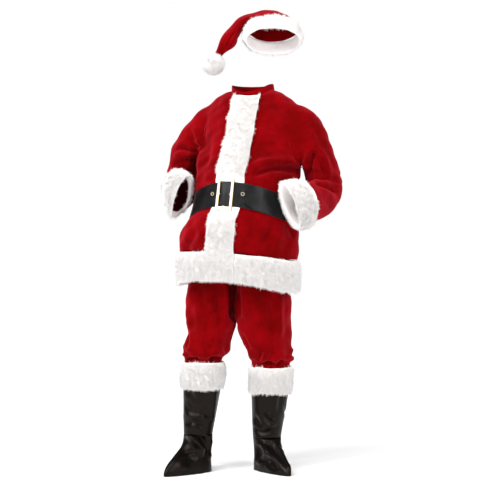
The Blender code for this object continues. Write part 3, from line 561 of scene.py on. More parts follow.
def keep_outer_side(piece, wall):
    """Deletes the rim, whose faces hold a short edge, and the smaller of the two sides."""
    points = points_of(piece)
    short = {
        tuple(sorted(edge.vertices))
        for edge in piece.data.edges
        if np.linalg.norm(points[edge.vertices[0]] - points[edge.vertices[1]]) < wall * RIM_SLACK
    }
    edit_faces(
        piece, [any(tuple(sorted(key)) in short for key in face.edge_keys) for face in piece.data.polygons]
    )
    bpy.ops.mesh.delete(type="FACE")
    bpy.ops.mesh.select_all(action="SELECT")
    bpy.ops.mesh.separate(type="LOOSE")
    bpy.ops.object.mode_set(mode="OBJECT")
    sides = sorted(bpy.context.selected_objects, key=area_of)
    outer = sides.pop()
    name = piece.name
    for side in sides:
        bpy.data.objects.remove(side)
    outer.name = outer.data.name = name
    select_only(outer)
    print(f"{name}: kept the outer side, dropped {len(sides)}")
    return outer


# %% [markdown]
# Modifiers do the smooth work: Subdivision rounds a form, and Solidify gives a surface its wall. Each is
# applied at once, so that the next step works on real points.

# %% Helpers that shape and finish a piece
def apply_modifier(piece, kind, **settings):
    select_only(piece)
    modifier = piece.modifiers.new(kind.lower(), kind)
    for setting, value in settings.items():
        setattr(modifier, setting, value)
    bpy.ops.object.modifier_apply(modifier=modifier.name)


def subdivide(piece, levels):
    ends = "PRESERVE_CORNERS"
    apply_modifier(piece, "SUBSURF", levels=levels, render_levels=levels, boundary_smooth=ends)


def finish_piece(piece, material, slot, *nodes):
    """The last steps of every piece: its finish, smooth shading, and hiding the solids that it stands for.
    """
    piece.data.materials.clear()
    piece.data.materials.append(material)
    select_only(piece)
    bpy.ops.object.shade_smooth()
    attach(piece, "root")
    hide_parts(*nodes)
    print(f"{piece.name}: {len(piece.data.polygons)} faces, {area_of(piece):.4f} m2 both sides")


# %% [markdown]
# A crease is a soft valley with two low lips. It is drawn as a bow through three points, as seen by
# someone who looks at the suit from one side: how far the point is to that person's right of the neck's
# middle, and how high above the floor. Every point of cloth near the bow that faces that way is then
# pressed in along its own normal. A negative depth raises a ridge instead. Where cloth hangs over, the
# side to the left of the bow's run also swells: that is the row's last number, the lap.

# %% The form of a crease
CREASE_COLUMNS = "azimuth across_1 height_1 across_2 height_2 across_3 height_3 width depth lap".split()
BOW_STEPS = 24
BOW_FADE = 0.3  # the share of the bow, at each end, over which the crease dies away
LIP = 0.3  # the lips' height, as a share of the depth
LIP_PLACE, LIP_SPREAD = 2.1, 0.8  # how many widths out the lips stand, and how broad they are
LAP_PLACE, LAP_SPREAD = 1.9, 1.6  # the same for a lap
EDGE_ON, FACING_SPAN = 0.05, 0.35  # cloth seen edge on is hardly pressed, cloth that faces one fully


def bow_points(crease):
    """Points along the bow, in the plane that the onlooker sees."""
    start = np.array([crease["across_1"], crease["height_1"]])
    middle = np.array([crease["across_2"], crease["height_2"]])
    end = np.array([crease["across_3"], crease["height_3"]])
    control = 2 * middle - (start + end) / 2
    share = np.linspace(0, 1, BOW_STEPS)[:, None]
    return (1 - share) ** 2 * start + 2 * share * (1 - share) * control + share**2 * end


def crease_depths(crease, points, normals):
    """How far one crease presses each point in."""
    turn = math.radians(crease["azimuth"])
    right = np.array([math.cos(turn), math.sin(turn), 0])
    towards = np.array([math.sin(turn), -math.cos(turn), 0])
    seen = np.stack([points @ right, points[:, 2] + NECK_HEIGHT], axis=1)
    bow = bow_points(crease)
    gaps = np.linalg.norm(seen[:, None, :] - bow[None, :, :], axis=2)
    nearest = gaps.argmin(axis=1)
    distance = gaps[np.arange(len(gaps)), nearest] / crease["width"]
    share = nearest / (BOW_STEPS - 1)
    fade = np.clip(np.minimum(share, 1 - share) / BOW_FADE, 0, 1)
    facing = np.clip((normals @ towards + EDGE_ON) / FACING_SPAN, 0, 1)
    lap = crease.get("lap", 0.0)
    lip = 0.0 if lap else LIP
    valley = np.exp(-(distance**2)) - lip * np.exp(-((distance - LIP_PLACE) ** 2) / LIP_SPREAD)
    run = np.gradient(bow, axis=0)[nearest]
    offset = seen - bow[nearest]
    left = np.sign(run[:, 0] * offset[:, 1] - run[:, 1] * offset[:, 0])
    swell = np.exp(-((left * distance - LAP_PLACE) ** 2) / LAP_SPREAD)
    depth = crease["depth"] * valley - lap * swell
    return depth * np.sin(fade * math.pi / 2) * facing


def press(piece, rows, where=None):
    """Presses the creases in, on all of a piece or only where that says."""
    points, normals = points_of(piece), normals_of(piece)
    chosen = np.arange(len(points)) if where is None else np.flatnonzero(where)
    depths = np.zeros(len(chosen))
    for row in rows:
        depths += crease_depths(dict(zip(CREASE_COLUMNS, row)), points[chosen], normals[chosen])
    points[chosen] -= normals[chosen] * depths[:, None]
    move_points(piece, points)


# %% [markdown]
# Cloth also wavers a little everywhere, because it is cut flat and worn round. A few slow waves that
# cross each other give that. They depend on place alone, so two pieces waver alike along their seam.

# %% Let the cloth waver
WAVES = [  # across, ahead, up: waves a metre; and how high in metres
    (5.0, 3.0, 9.0, 0.0016),
    (11.0, -7.0, 5.0, 0.0012),
    (-8.0, 12.0, 16.0, 0.0008),
    (17.0, 9.0, -11.0, 0.0006),
]


def waver(piece, strength=1.0):
    points, normals = points_of(piece), normals_of(piece)
    heights = np.zeros(len(points))
    for across, ahead, up, height in WAVES:
        heights += height * np.sin(2 * math.pi * (points @ np.array([across, ahead, up]) + across))
    move_points(piece, points + normals * (heights * strength)[:, None])


# %% [markdown]
# The creases that matter are where an arm bends, where the jacket hangs over the belly, and where each
# trouser leg is gathered into its boot cover. Each table lists the creases of one piece, the shown side
# first and the hidden sides after it. Both sleeves fold hardest inside the elbow, where the cloth also
# laps over itself.

# %% The creases of the sleeves
CREASES = {
    "jacket_sleeve_right": [
        (20, -0.304, 1.285, -0.262, 1.278, -0.218, 1.256, 0.0090, 0.018, 0.006),
        (20, -0.318, 1.250, -0.281, 1.262, -0.248, 1.243, 0.0090, -0.008),
        (20, -0.266, 1.239, -0.249, 1.234, -0.228, 1.230, 0.0110, 0.012),
        (20, -0.226, 1.300, -0.224, 1.245, -0.230, 1.185, 0.0120, 0.020),
        (20, -0.334, 1.198, -0.296, 1.225, -0.250, 1.227, 0.0095, 0.010, 0.003),
        (20, -0.340, 1.172, -0.303, 1.204, -0.255, 1.208, 0.0095, 0.010, 0.003),
        (20, -0.345, 1.150, -0.311, 1.181, -0.270, 1.189, 0.0095, 0.008, 0.002),
        (20, -0.236, 1.372, -0.214, 1.316, -0.216, 1.260, 0.0120, -0.008),
        (20, -0.256, 1.366, -0.240, 1.328, -0.236, 1.295, 0.0130, 0.007),
        (200, 0.200, 1.290, 0.245, 1.275, 0.290, 1.282, 0.0080, 0.0150),
        (200, 0.215, 1.250, 0.255, 1.240, 0.300, 1.252, 0.0100, 0.0105),
        (200, 0.210, 1.360, 0.235, 1.325, 0.240, 1.290, 0.0140, 0.0090),
        (290, -0.020, 1.300, 0.020, 1.285, 0.060, 1.296, 0.0080, 0.0135),
    ],
    "jacket_sleeve_left": [
        (20, 0.232, 1.142, 0.278, 1.130, 0.338, 1.098, 0.0100, 0.025, 0.013),
        (20, 0.236, 1.260, 0.226, 1.216, 0.220, 1.168, 0.0120, 0.022),
        (20, 0.214, 1.256, 0.211, 1.234, 0.206, 1.212, 0.0070, -0.006),
        (20, 0.203, 1.190, 0.226, 1.172, 0.250, 1.190, 0.0110, 0.012),
        (20, 0.258, 1.272, 0.282, 1.216, 0.302, 1.165, 0.0120, -0.009),
        (20, 0.242, 1.262, 0.262, 1.206, 0.279, 1.162, 0.0120, 0.007),
        (20, 0.236, 1.345, 0.262, 1.300, 0.272, 1.240, 0.0160, 0.006),
        (20, 0.250, 1.085, 0.285, 1.062, 0.302, 1.020, 0.0140, 0.008, 0.004),
        (20, 0.300, 1.160, 0.325, 1.120, 0.332, 1.070, 0.0140, 0.005),
        (200, -0.330, 1.130, -0.290, 1.110, -0.250, 1.118, 0.0090, 0.0150),
        (200, -0.320, 1.240, -0.285, 1.215, -0.262, 1.180, 0.0120, 0.0090),
        (110, -0.040, 1.180, 0.010, 1.150, 0.060, 1.150, 0.0090, 0.0150),
    ],
}
print("creases:", sum(len(rows) for rows in CREASES.values()))

# %% [markdown]
# On the body, one deep fold crosses the left chest above the belt, where the belt lifts the cloth.
# Shallow ones run down from armpit and belt, and the skirt below the belt stands in slow flutes.

# %% The creases of the jacket's body
CREASES |= {
    "jacket_front_right": [
        (20, -0.236, 1.372, -0.214, 1.316, -0.216, 1.260, 0.0120, -0.008),
        (20, -0.188, 1.268, -0.205, 1.232, -0.216, 1.196, 0.0120, -0.009),
        (20, -0.182, 1.330, -0.170, 1.264, -0.192, 1.202, 0.0150, 0.008),
        (20, -0.150, 1.300, -0.155, 1.250, -0.160, 1.190, 0.0150, -0.005),
        (20, -0.282, 0.876, -0.257, 0.920, -0.232, 0.968, 0.0150, -0.007),
        (20, -0.262, 0.870, -0.238, 0.912, -0.212, 0.958, 0.0140, 0.007),
        (20, -0.240, 0.878, -0.221, 0.920, -0.200, 0.964, 0.0150, -0.006),
        (20, -0.218, 1.130, -0.180, 1.146, -0.145, 1.150, 0.0140, 0.007),
        (20, -0.212, 1.090, -0.180, 1.105, -0.150, 1.110, 0.0140, 0.005),
    ],
    "jacket_front_left": [
        (20, -0.005, 1.158, 0.090, 1.192, 0.206, 1.176, 0.0145, 0.028, 0.018),
        (20, 0.040, 1.120, 0.120, 1.135, 0.200, 1.115, 0.0320, 0.006),
        (20, 0.010, 1.260, 0.070, 1.278, 0.130, 1.272, 0.0180, 0.005),
        (20, 0.150, 1.310, 0.165, 1.268, 0.190, 1.236, 0.0130, 0.008, 0.003),
        (20, 0.120, 0.985, 0.146, 0.955, 0.158, 0.925, 0.0080, 0.008, 0.003),
        (20, 0.030, 0.890, 0.055, 0.935, 0.075, 0.985, 0.0180, 0.006),
        (20, 0.080, 0.880, 0.098, 0.925, 0.112, 0.980, 0.0180, -0.006),
    ],
    "jacket_back": [
        (200, -0.150, 1.300, -0.060, 1.260, 0.040, 1.275, 0.0140, 0.0090),
        (200, -0.120, 1.190, -0.020, 1.165, 0.090, 1.185, 0.0120, 0.0090),
        (200, -0.170, 1.380, -0.130, 1.330, -0.120, 1.270, 0.0140, 0.0075),
        (200, 0.150, 1.390, 0.125, 1.330, 0.130, 1.260, 0.0140, 0.0075),
        (200, -0.110, 1.030, -0.100, 0.960, -0.115, 0.890, 0.0130, 0.0090),
        (200, 0.030, 1.035, 0.045, 0.975, 0.040, 0.900, 0.0130, 0.0075),
        (200, 0.160, 1.020, 0.175, 0.960, 0.165, 0.890, 0.0130, 0.0090),
        (110, -0.020, 1.030, 0.000, 0.965, -0.010, 0.890, 0.0120, 0.0075),
        (290, 0.020, 1.030, 0.010, 0.965, 0.015, 0.890, 0.0120, 0.0075),
    ],
}
print("creases:", sum(len(rows) for rows in CREASES.values()))

# %% [markdown]
# The trousers hang in long soft flutes between the legs and along the outside. Just above the boot covers
# the cloth is gathered, and there it lies in short, plump laps.

# %% The creases of the trousers
CREASES |= {
    "trouser_leg_right": [
        (20, -0.080, 0.790, -0.078, 0.690, -0.076, 0.590, 0.0150, 0.026),
        (20, -0.128, 0.750, -0.130, 0.700, -0.136, 0.635, 0.0160, 0.007),
        (20, -0.106, 0.750, -0.106, 0.690, -0.108, 0.620, 0.0090, -0.005),
        (20, -0.244, 0.735, -0.256, 0.645, -0.248, 0.560, 0.0110, -0.007),
        (20, -0.208, 0.745, -0.198, 0.680, -0.183, 0.620, 0.0150, 0.008),
        (20, -0.150, 0.640, -0.175, 0.590, -0.162, 0.525, 0.0180, 0.009, 0.003),
        (20, -0.259, 0.560, -0.257, 0.524, -0.264, 0.484, 0.0080, 0.009, 0.006),
        (20, -0.260, 0.439, -0.232, 0.450, -0.206, 0.437, 0.0090, 0.017, 0.004),
        (20, -0.176, 0.437, -0.146, 0.451, -0.118, 0.439, 0.0095, 0.018, 0.005),
        (20, -0.114, 0.500, -0.104, 0.474, -0.110, 0.450, 0.0070, 0.008),
        (20, -0.196, 0.495, -0.190, 0.470, -0.186, 0.440, 0.0120, -0.007),
        (20, -0.196, 0.525, -0.184, 0.502, -0.160, 0.490, 0.0120, 0.007),
        (110, -0.060, 0.720, -0.050, 0.640, -0.060, 0.560, 0.0140, 0.0075),
        (200, 0.090, 0.730, 0.100, 0.650, 0.095, 0.560, 0.0140, 0.0090),
        (200, 0.190, 0.730, 0.185, 0.660, 0.195, 0.590, 0.0140, 0.0075),
        (200, 0.140, 0.465, 0.165, 0.480, 0.190, 0.462, 0.0080, 0.0150),
        (200, 0.220, 0.462, 0.240, 0.476, 0.262, 0.458, 0.0080, 0.0135),
        (290, -0.030, 0.470, 0.000, 0.482, 0.030, 0.465, 0.0080, 0.009),
    ],
    "trouser_leg_left": [
        (20, -0.060, 0.790, -0.060, 0.700, -0.060, 0.600, 0.0110, 0.016),
        (20, -0.040, 0.760, -0.038, 0.690, -0.034, 0.600, 0.0090, -0.004),
        (20, 0.108, 0.725, 0.104, 0.620, 0.110, 0.525, 0.0120, -0.008),
        (20, 0.082, 0.710, 0.078, 0.620, 0.084, 0.540, 0.0150, 0.007),
        (20, -0.046, 0.556, -0.027, 0.517, -0.011, 0.482, 0.0080, 0.009, 0.004),
        (20, 0.037, 0.480, 0.029, 0.462, 0.021, 0.443, 0.0070, 0.010, 0.002),
        (20, 0.036, 0.422, 0.062, 0.435, 0.088, 0.422, 0.0085, 0.015, 0.003),
        (20, 0.091, 0.416, 0.104, 0.429, 0.122, 0.447, 0.0080, 0.014, 0.002),
        (20, 0.121, 0.416, 0.139, 0.413, 0.158, 0.422, 0.0075, 0.012, 0.003),
        (20, 0.136, 0.466, 0.149, 0.450, 0.157, 0.434, 0.0120, -0.007),
        (20, 0.072, 0.455, 0.080, 0.480, 0.084, 0.515, 0.0110, 0.007, 0.002),
        (20, 0.052, 0.460, 0.056, 0.485, 0.052, 0.515, 0.0120, -0.006),
        (20, 0.000, 0.700, 0.030, 0.650, 0.040, 0.585, 0.0180, 0.007),
        (290, -0.030, 0.705, -0.030, 0.645, -0.030, 0.585, 0.0300, -0.012),
        (200, -0.130, 0.720, -0.120, 0.640, -0.130, 0.560, 0.0140, 0.0090),
        (200, -0.040, 0.700, -0.045, 0.630, -0.040, 0.560, 0.0140, 0.0075),
        (200, -0.110, 0.446, -0.090, 0.460, -0.068, 0.446, 0.0080, 0.0135),
        (200, -0.040, 0.448, -0.020, 0.462, 0.000, 0.446, 0.0080, 0.0135),
        (110, 0.000, 0.450, 0.030, 0.465, 0.055, 0.448, 0.0080, 0.0135),
    ],
}
print("creases:", sum(len(rows) for rows in CREASES.values()))

# %% [markdown]
# The hat's crown is a soft cone that folds over to the side where the pompom pulls it. The deepest crease
# is at that fold.

# %% The creases of the hat
CREASES |= {
    "hat_crown_front": [
        (20, -0.064, 1.737, -0.088, 1.705, -0.104, 1.660, 0.0060, 0.010, 0.003),
        (20, -0.038, 1.757, -0.025, 1.752, -0.010, 1.744, 0.0070, 0.014),
        (20, -0.045, 1.772, -0.010, 1.786, 0.040, 1.783, 0.0090, -0.005),
        (20, -0.112, 1.682, -0.120, 1.655, -0.130, 1.630, 0.0070, 0.006),
    ],
    "hat_crown_back": [
        (200, 0.050, 1.760, 0.085, 1.720, 0.105, 1.670, 0.0080, 0.0120),
        (200, -0.030, 1.740, 0.000, 1.755, 0.035, 1.750, 0.0080, 0.0105),
    ],
}
print("creases:", sum(len(rows) for rows in CREASES.values()))

# %% [markdown]
# The pieces of each garment are listed, with how often the surface that they are sewn into is subdivided.
# A sleeve or a leg is cut flat and sewn to a tube.

# %% The cuts, and what is sewn together
JACKET = (
    "jacket_front_right",
    "jacket_front_left",
    "jacket_back",
    "jacket_sleeve_right",
    "jacket_sleeve_left",
    "jacket_neckband",
)
SEWN = {  # the pieces that are shaped as one surface, and how often that is subdivided
    "jacket_form": (JACKET, 3),
    "trouser_form": (("trouser_leg_right", "trouser_leg_left", "trouser_waistband"), 3),
    "hat_form": (("hat_crown_front", "hat_crown_back"), 2),
}

# %% [markdown]
# Were each piece shaped by itself, its edge would curl away from its neighbour's and a gap would open
# along the seam. So neighbours are first sewn to one surface, as a tailor would, and shaped together. A
# number on each face remembers which piece it belongs to.

# %% Sew neighbouring pieces together
PLUSH_WALL = 0.0025
SEAM_REACH = 0.0008  # points this close across a seam become one


def piece_numbers(form):
    numbers = np.empty(len(form.data.polygons), np.int32)
    form.data.attributes["piece"].data.foreach_get("value", numbers)
    return numbers


def sew(name, nodes, levels):
    """The outer sides of neighbouring pieces as one smooth surface. Each face keeps its piece's number."""
    outers = []
    for number, node in enumerate(nodes):
        outer = keep_outer_side(copy_of(node, node + "_plush"), PLUSH_WALL)
        numbers = np.full(len(outer.data.polygons), number, np.int32)
        outer.data.attributes.new("piece", "INT", "FACE").data.foreach_set("value", numbers)
        outers.append(outer)
    select_only(outers[0])
    for outer in outers:
        outer.select_set(True)
    bpy.ops.object.join()
    form = bpy.context.object
    form.name = form.data.name = name
    bpy.ops.object.mode_set(mode="EDIT")
    bpy.ops.mesh.select_all(action="SELECT")
    bpy.ops.mesh.remove_doubles(threshold=SEAM_REACH)
    bpy.ops.object.mode_set(mode="OBJECT")
    subdivide(form, levels)
    return form


# %% [markdown]
# A belt draws the jacket in. Every point of cloth beside the strap looks for the nearest point of
# leather, and where it would come closer than two millimetres, or through it, it moves inwards.

# %% Tuck the cloth in under the belt
TUCK_REACH, TUCK_CLEAR = 0.018, 0.0022  # how far the belt's pull reaches, and what it leaves between


def tuck_in(form, hard):
    """Draws the cloth in under a strap, and a little beside it, so that it stays clear of the leather."""
    low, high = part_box(hard)
    points, normals = points_of(form), normals_of(form)
    near = (points[:, 2] > low[2] - TUCK_REACH) & (points[:, 2] < high[2] + TUCK_REACH)
    strap = bpy.data.objects[hard]
    for index in np.flatnonzero(near):
        gap = np.array(strap.closest_point_on_mesh(Vector(points[index]))[1]) - points[index]
        outward = gap @ normals[index]
        aside = math.sqrt(max(gap @ gap - outward**2, 0))
        if aside < TUCK_REACH and abs(outward) < TUCK_REACH:
            short = max(TUCK_CLEAR - outward, 0) * (1 - aside / TUCK_REACH)
            points[index] -= normals[index] * short
    move_points(form, points)


# %% [markdown]
# Shaping runs in one order: waves, creases piece by piece, and then the belt, which has the last word. At
# the end each point writes down its own normal. When the pieces are unpicked again, that lets the nap run
# on over the seams as if they were never cut.

# %% Shape a sewn form
def shape(form, nodes):
    """Waves and creases, then each point's own normal is kept."""
    waver(form)
    numbers = piece_numbers(form)
    for number, node in enumerate(nodes):
        mine = np.zeros(len(form.data.vertices), bool)
        for face, owner in zip(form.data.polygons, numbers):
            if owner == number:
                mine[list(face.vertices)] = True
        press(form, CREASES.get(node, []), mine)
    if "jacket_back" in nodes:
        tuck_in(form, "belt_strap")
    flow = form.data.attributes.new("flow", "FLOAT_VECTOR", "POINT")
    flow.data.foreach_set("vector", normals_of(form).ravel())


# %% [markdown]
# Unpicked, each piece is again what the cutter cut, and it gets its wall and its finish. The trouser legs
# get no wall, because fur, boots and jacket hide both their ends, so nobody ever sees how thick they are.

# %% Unpick and finish the pieces
PLUSH_THICKNESS = 0.002
SINGLE = ("trouser_leg_right", "trouser_leg_left")
SAME_WAY = 0.5  # a side takes the kept normal, or its reverse, if its own is within 60 degrees of it


def unpick(form, number, node):
    """Takes one piece out of the form again."""
    edit_faces(form, piece_numbers(form) == number)
    bpy.ops.mesh.separate(type="SELECTED")
    bpy.ops.object.mode_set(mode="OBJECT")
    piece = next(found for found in bpy.context.selected_objects if found != form)
    piece.name = piece.data.name = node + "_plush"
    return piece


def keep_flow(piece):
    """Shades both sides by the sewn form's normals."""
    flow = np.empty(len(piece.data.vertices) * 3, np.float32)
    piece.data.attributes["flow"].data.foreach_get("vector", flow)
    flow, own = flow.reshape(-1, 3), normals_of(piece)
    agree = (flow * own).sum(axis=1)
    kept = np.where(np.abs(agree)[:, None] > SAME_WAY, flow * np.sign(agree)[:, None], own)
    piece.data.normals_split_custom_set_from_vertices(kept)


def finish_cloth(piece, node):
    if node not in SINGLE:
        apply_modifier(piece, "SOLIDIFY", thickness=PLUSH_THICKNESS, offset=-1)
    finish_piece(piece, red_plush, "red_plush", node)
    keep_flow(piece)


# %% [markdown]
# Now the garments are made, one after another. The sewn form was only a means, so it goes once its last
# piece has been unpicked.

# %% Make the cloth pieces
for name, (nodes, levels) in SEWN.items():
    form = sew(name, nodes, levels)
    shape(form, nodes)
    for number, node in enumerate(nodes):
        finish_cloth(unpick(form, number, node), node)
    bpy.data.objects.remove(form)

# %% [markdown]
# ## Fur
# A fur band has two parts: its knitted backing, which shows between the strands, and the strands. The
# backing is the band's solid drawn in by half the pile, less along the edges. The inner side, towards the
# wearer, has no pile, so its faces are found first.

# %% Find a band's inner side
FACES_INWARD = 0.5  # a face counts as inner within 60 degrees of straight inwards


def inner_faces(piece, back=None):
    """The faces that look at the wearer: towards the band's own axis, or along back on a flat strip."""
    points = points_of(piece)
    middle = points.mean(axis=0)
    axis = np.linalg.eigh(np.cov((points - middle).T))[1][:, 0]
    found = []
    for face in piece.data.polygons:
        outward = np.array(face.center) - middle
        outward -= axis * (outward @ axis)
        outward /= np.linalg.norm(outward) or 1
        towards = np.array(back) if back else -outward
        if np.array(face.normal) @ towards > FACES_INWARD:
            found.append(face)
    return found


# %% [markdown]
# Three things change a band near its ends and its neighbours. Where belt and buckle lie on the fur, the
# strands have no room. A cut end is marked to stay square, because subdivision would round it off. And
# some ends are moved a little: out to meet the next band, or back where the pile would reach too far.

# %% Fit a band to its neighbours
PRESSED_BY = {"jacket_placket_fur": ("belt_strap", "belt_buckle")}
UNDER_BELT = 0.009  # no pile where a hard piece is nearer than this
BESIDE_BELT = 0.014  # from there on, full pile after this much more
SQUARE_ENDS = {  # node: the box round its cut ends
    "jacket_hem_fur": ((0.004, -0.30, -0.90), (0.013, -0.15, -0.50)),
    "jacket_placket_fur": ((-0.20, -0.30, -0.70), (0.10, -0.15, -0.62)),
}
ENDS = {  # node: (axis, which way the end faces, a place beyond it, how far it moves, how much gives)
    "jacket_placket_fur": ((2, -1, -9, 0.012, 0.060),),
    "boot_fur_right": ((2, 1, 9, -0.011, 0.080), (2, -1, -9, 0.006, 0.080)),
    "boot_fur_left": ((2, 1, 9, -0.0145, 0.080), (2, -1, -9, 0.007, 0.080)),
}


def leave_room(piece, neighbours):
    """A vertex group that says how long the strands may be beside the hard pieces that press on them."""
    group = piece.vertex_groups.new(name="room")
    hard = [bpy.data.objects[name] for name in neighbours]
    for vertex in piece.data.vertices:
        gaps = [(other.closest_point_on_mesh(vertex.co)[1] - vertex.co).length for other in hard]
        free = (min(gaps, default=1.0) - UNDER_BELT) / BESIDE_BELT
        group.add([vertex.index], min(max(free, 0.0), 1.0), "REPLACE")


def keep_square(piece, corner):
    """Marks the edges of a cut end, so that subdivision leaves it square."""
    low, high = np.array(corner)
    at_end = ((points_of(piece) > low) & (points_of(piece) < high)).all(axis=1)
    sharpness = piece.data.attributes.new("crease_edge", "FLOAT", "EDGE")
    for edge in piece.data.edges:
        if at_end[edge.vertices[0]] and at_end[edge.vertices[1]]:
            sharpness.data[edge.index].value = 1.0


def draw_end(piece, axis, side, beyond, shift, reach):
    """Moves a band's end: out to meet the next band, or back from where the pile would put it."""
    points = points_of(piece)
    along = side * points[:, axis]
    end = along[along < side * beyond].max()
    share = np.where(along < side * beyond, 1 - (end - along) / reach, 0)
    points[:, axis] += side * shift * np.clip(share, 0, 1)
    move_points(piece, points)
    print(f"{piece.name}: end at {side * end:.4f} m, moved by {shift}")


# %% [markdown]
# The pile is high in the middle of a band and dies away at its edges, so each point's height follows from
# how far it is from the inner side. A vertex group keeps that number, subdivision spreads it smoothly,
# and the backing then sinks in by it. The strands will read the same group.

# %% Draw the backing in
FULL_PILE = 0.017  # the solid's thickness in the middle of a band
SINK = 0.0068  # how far the backing lies below the tips there
BACKING_LEVELS, BACKING_WAVER = 2, 0.6


def make_backing(node, back=None):
    """The band drawn in, with a vertex group that says how high the pile stands there."""
    piece = copy_of(node, node + "_backing")
    points = points_of(piece)
    inside = sorted({corner for face in inner_faces(piece, back) for corner in face.vertices})
    gaps = np.linalg.norm(points[:, None, :] - points[inside][None, :, :], axis=2).min(axis=1)
    group = piece.vertex_groups.new(name="pile")
    for index, gap in enumerate(gaps):
        group.add([index], min(gap / FULL_PILE, 1.0), "REPLACE")
    if node in SQUARE_ENDS:
        keep_square(piece, SQUARE_ENDS[node])
    subdivide(piece, BACKING_LEVELS)
    heights = np.array([sum(g.weight for g in vertex.groups) for vertex in piece.data.vertices])
    waver(piece, BACKING_WAVER)
    leave_room(piece, PRESSED_BY.get(node, ()))
    for row in ENDS.get(node, ()):
        draw_end(piece, *row)
    points, normals = points_of(piece), normals_of(piece)
    move_points(piece, points - normals * (heights * SINK)[:, None])
    print(f"{node}: {len(inside)} points on the inner side, {len(piece.data.polygons)} faces")
    return piece


# %% [markdown]
# The strands are scattered on the backing by Geometry Nodes. Each is a slim cone with three sides, combed
# one way, with neighbours leaning together in soft clumps. That is the cheapest strand that looks full
# from every side. The node group has the choices that a maker of fur fabric has: how dense, how long, how
# wide, which way it is combed, how upright it stands and how unruly it is.

# %% The pile's choices
VECTOR, INTEGER, GEOMETRY = "NodeSocketVector", "NodeSocketInt", "NodeSocketGeometry"
STRAND_SPACING, STRAND_WIDTH = 0.0015, 0.0011

pile_group, pile_in, pile_out = new_group(
    "Fur_pile",
    "GeometryNodeTree",
    {
        "Backing": (GEOMETRY, None),
        "Spacing": (FLOAT, STRAND_SPACING),
        "Length": (FLOAT, 0.0155),
        "Width": (FLOAT, STRAND_WIDTH),
        "Comb": (VECTOR, (0, 0, -1)),
        "Upright": (FLOAT, 0.55),
        "Unruly": (FLOAT, 0.9),
        "Clump size": (FLOAT, 60.0),
        "Tufts": (FLOAT, 0.19),
        "Seed": (INTEGER, 1),
    },
    {"Strands": GEOMETRY},
)
PILE_SOCKETS = {
    item.name: item.identifier for item in pile_group.interface.items_tree if item.in_out == "INPUT"
}
print("group:", pile_group.name, list(PILE_SOCKETS))

# %% [markdown]
# First, where strands stand. Poisson scattering keeps them a spacing apart, so their number follows from
# the spacing. None grows where pile height and room leave almost nothing.

# %% Where the strands stand
LEAST_PILE = 0.18  # no strand grows where height times room is below this


def stored(name):
    kind = "GeometryNodeInputNamedAttribute"
    return add_node(pile_group, kind, {"Name": name}, data_type="FLOAT").outputs[0]


height, room = stored("pile"), stored("room")
free_height = calculate(pile_group, "MULTIPLY", height, room)
grows = add_node(
    pile_group,
    "FunctionNodeCompare",
    {0: free_height, 1: LEAST_PILE},
    data_type="FLOAT",
    operation="GREATER_THAN",
).outputs[0]
scatter = add_node(
    pile_group,
    "GeometryNodeDistributePointsOnFaces",
    {
        "Mesh": pile_in["Backing"],
        "Selection": grows,
        "Distance Min": pile_in["Spacing"],
        "Density Max": calculate(pile_group, "POWER", pile_in["Spacing"], -2.0),
        "Seed": pile_in["Seed"],
    },
    distribute_method="POISSON",
).outputs
print("strands from a pile of", LEAST_PILE)

# %% [markdown]
# Then, how they lean. A strand follows the comb, but its clump pulls it aside, and it strays a little by
# itself. What is left of that along the backing is added to the upright part. At a band's edge the
# strands stand up more, so that they don't hang over into the air.

# %% How the strands lean
STRAY = 0.3  # how far a strand strays by itself
CLUMP_PULL = 3.0
EDGE_UPRIGHT, EDGE_FROM, EDGE_TO = 2.2, 0.3, 0.8  # how much more upright, and at which pile heights


def vector_step(operation, first, second=None, scale=None):
    """One step of vector arithmetic in the pile's node group."""
    given = {0: first, 1: second, "Scale": scale}
    inputs = {key: value for key, value in given.items() if value is not None}
    node = add_node(pile_group, "ShaderNodeVectorMath", inputs, operation=operation)
    return node.outputs["Value" if operation == "DOT_PRODUCT" else "Vector"]


where = add_node(pile_group, "GeometryNodeInputPosition").outputs[0]
clumps = add_node(
    pile_group, "ShaderNodeTexNoise", {"Vector": where, "Scale": pile_in["Clump size"], "Detail": 2.0}
)
clump_lean = vector_step("SUBTRACT", clumps.outputs["Color"], (0.5, 0.5, 0.5))
stray = add_node(
    pile_group,
    "FunctionNodeRandomValue",
    {"Min": (-STRAY, -STRAY, -STRAY), "Max": (STRAY, STRAY, STRAY), "Seed": pile_in["Seed"]},
    data_type="FLOAT_VECTOR",
).outputs[0]
pulled = vector_step("ADD", vector_step("SCALE", clump_lean, scale=CLUMP_PULL), stray)
leaning = vector_step("ADD", pile_in["Comb"], vector_step("SCALE", pulled, scale=pile_in["Unruly"]))
skin_normal = scatter["Normal"]
into_skin = vector_step("DOT_PRODUCT", leaning, skin_normal)
along_skin = vector_step("SUBTRACT", leaning, vector_step("SCALE", skin_normal, scale=into_skin))
near_edge = ramp(pile_group, height, EDGE_FROM, EDGE_TO, EDGE_UPRIGHT, 1.0)
upright = calculate(pile_group, "MULTIPLY", near_edge, pile_in["Upright"])
direction = vector_step("ADD", vector_step("SCALE", skin_normal, scale=upright), along_skin)
turned = add_node(pile_group, "FunctionNodeAlignRotationToVector", {"Vector": direction}, axis="Z")
print("strands lean: stray", STRAY, "clumps", CLUMP_PULL)
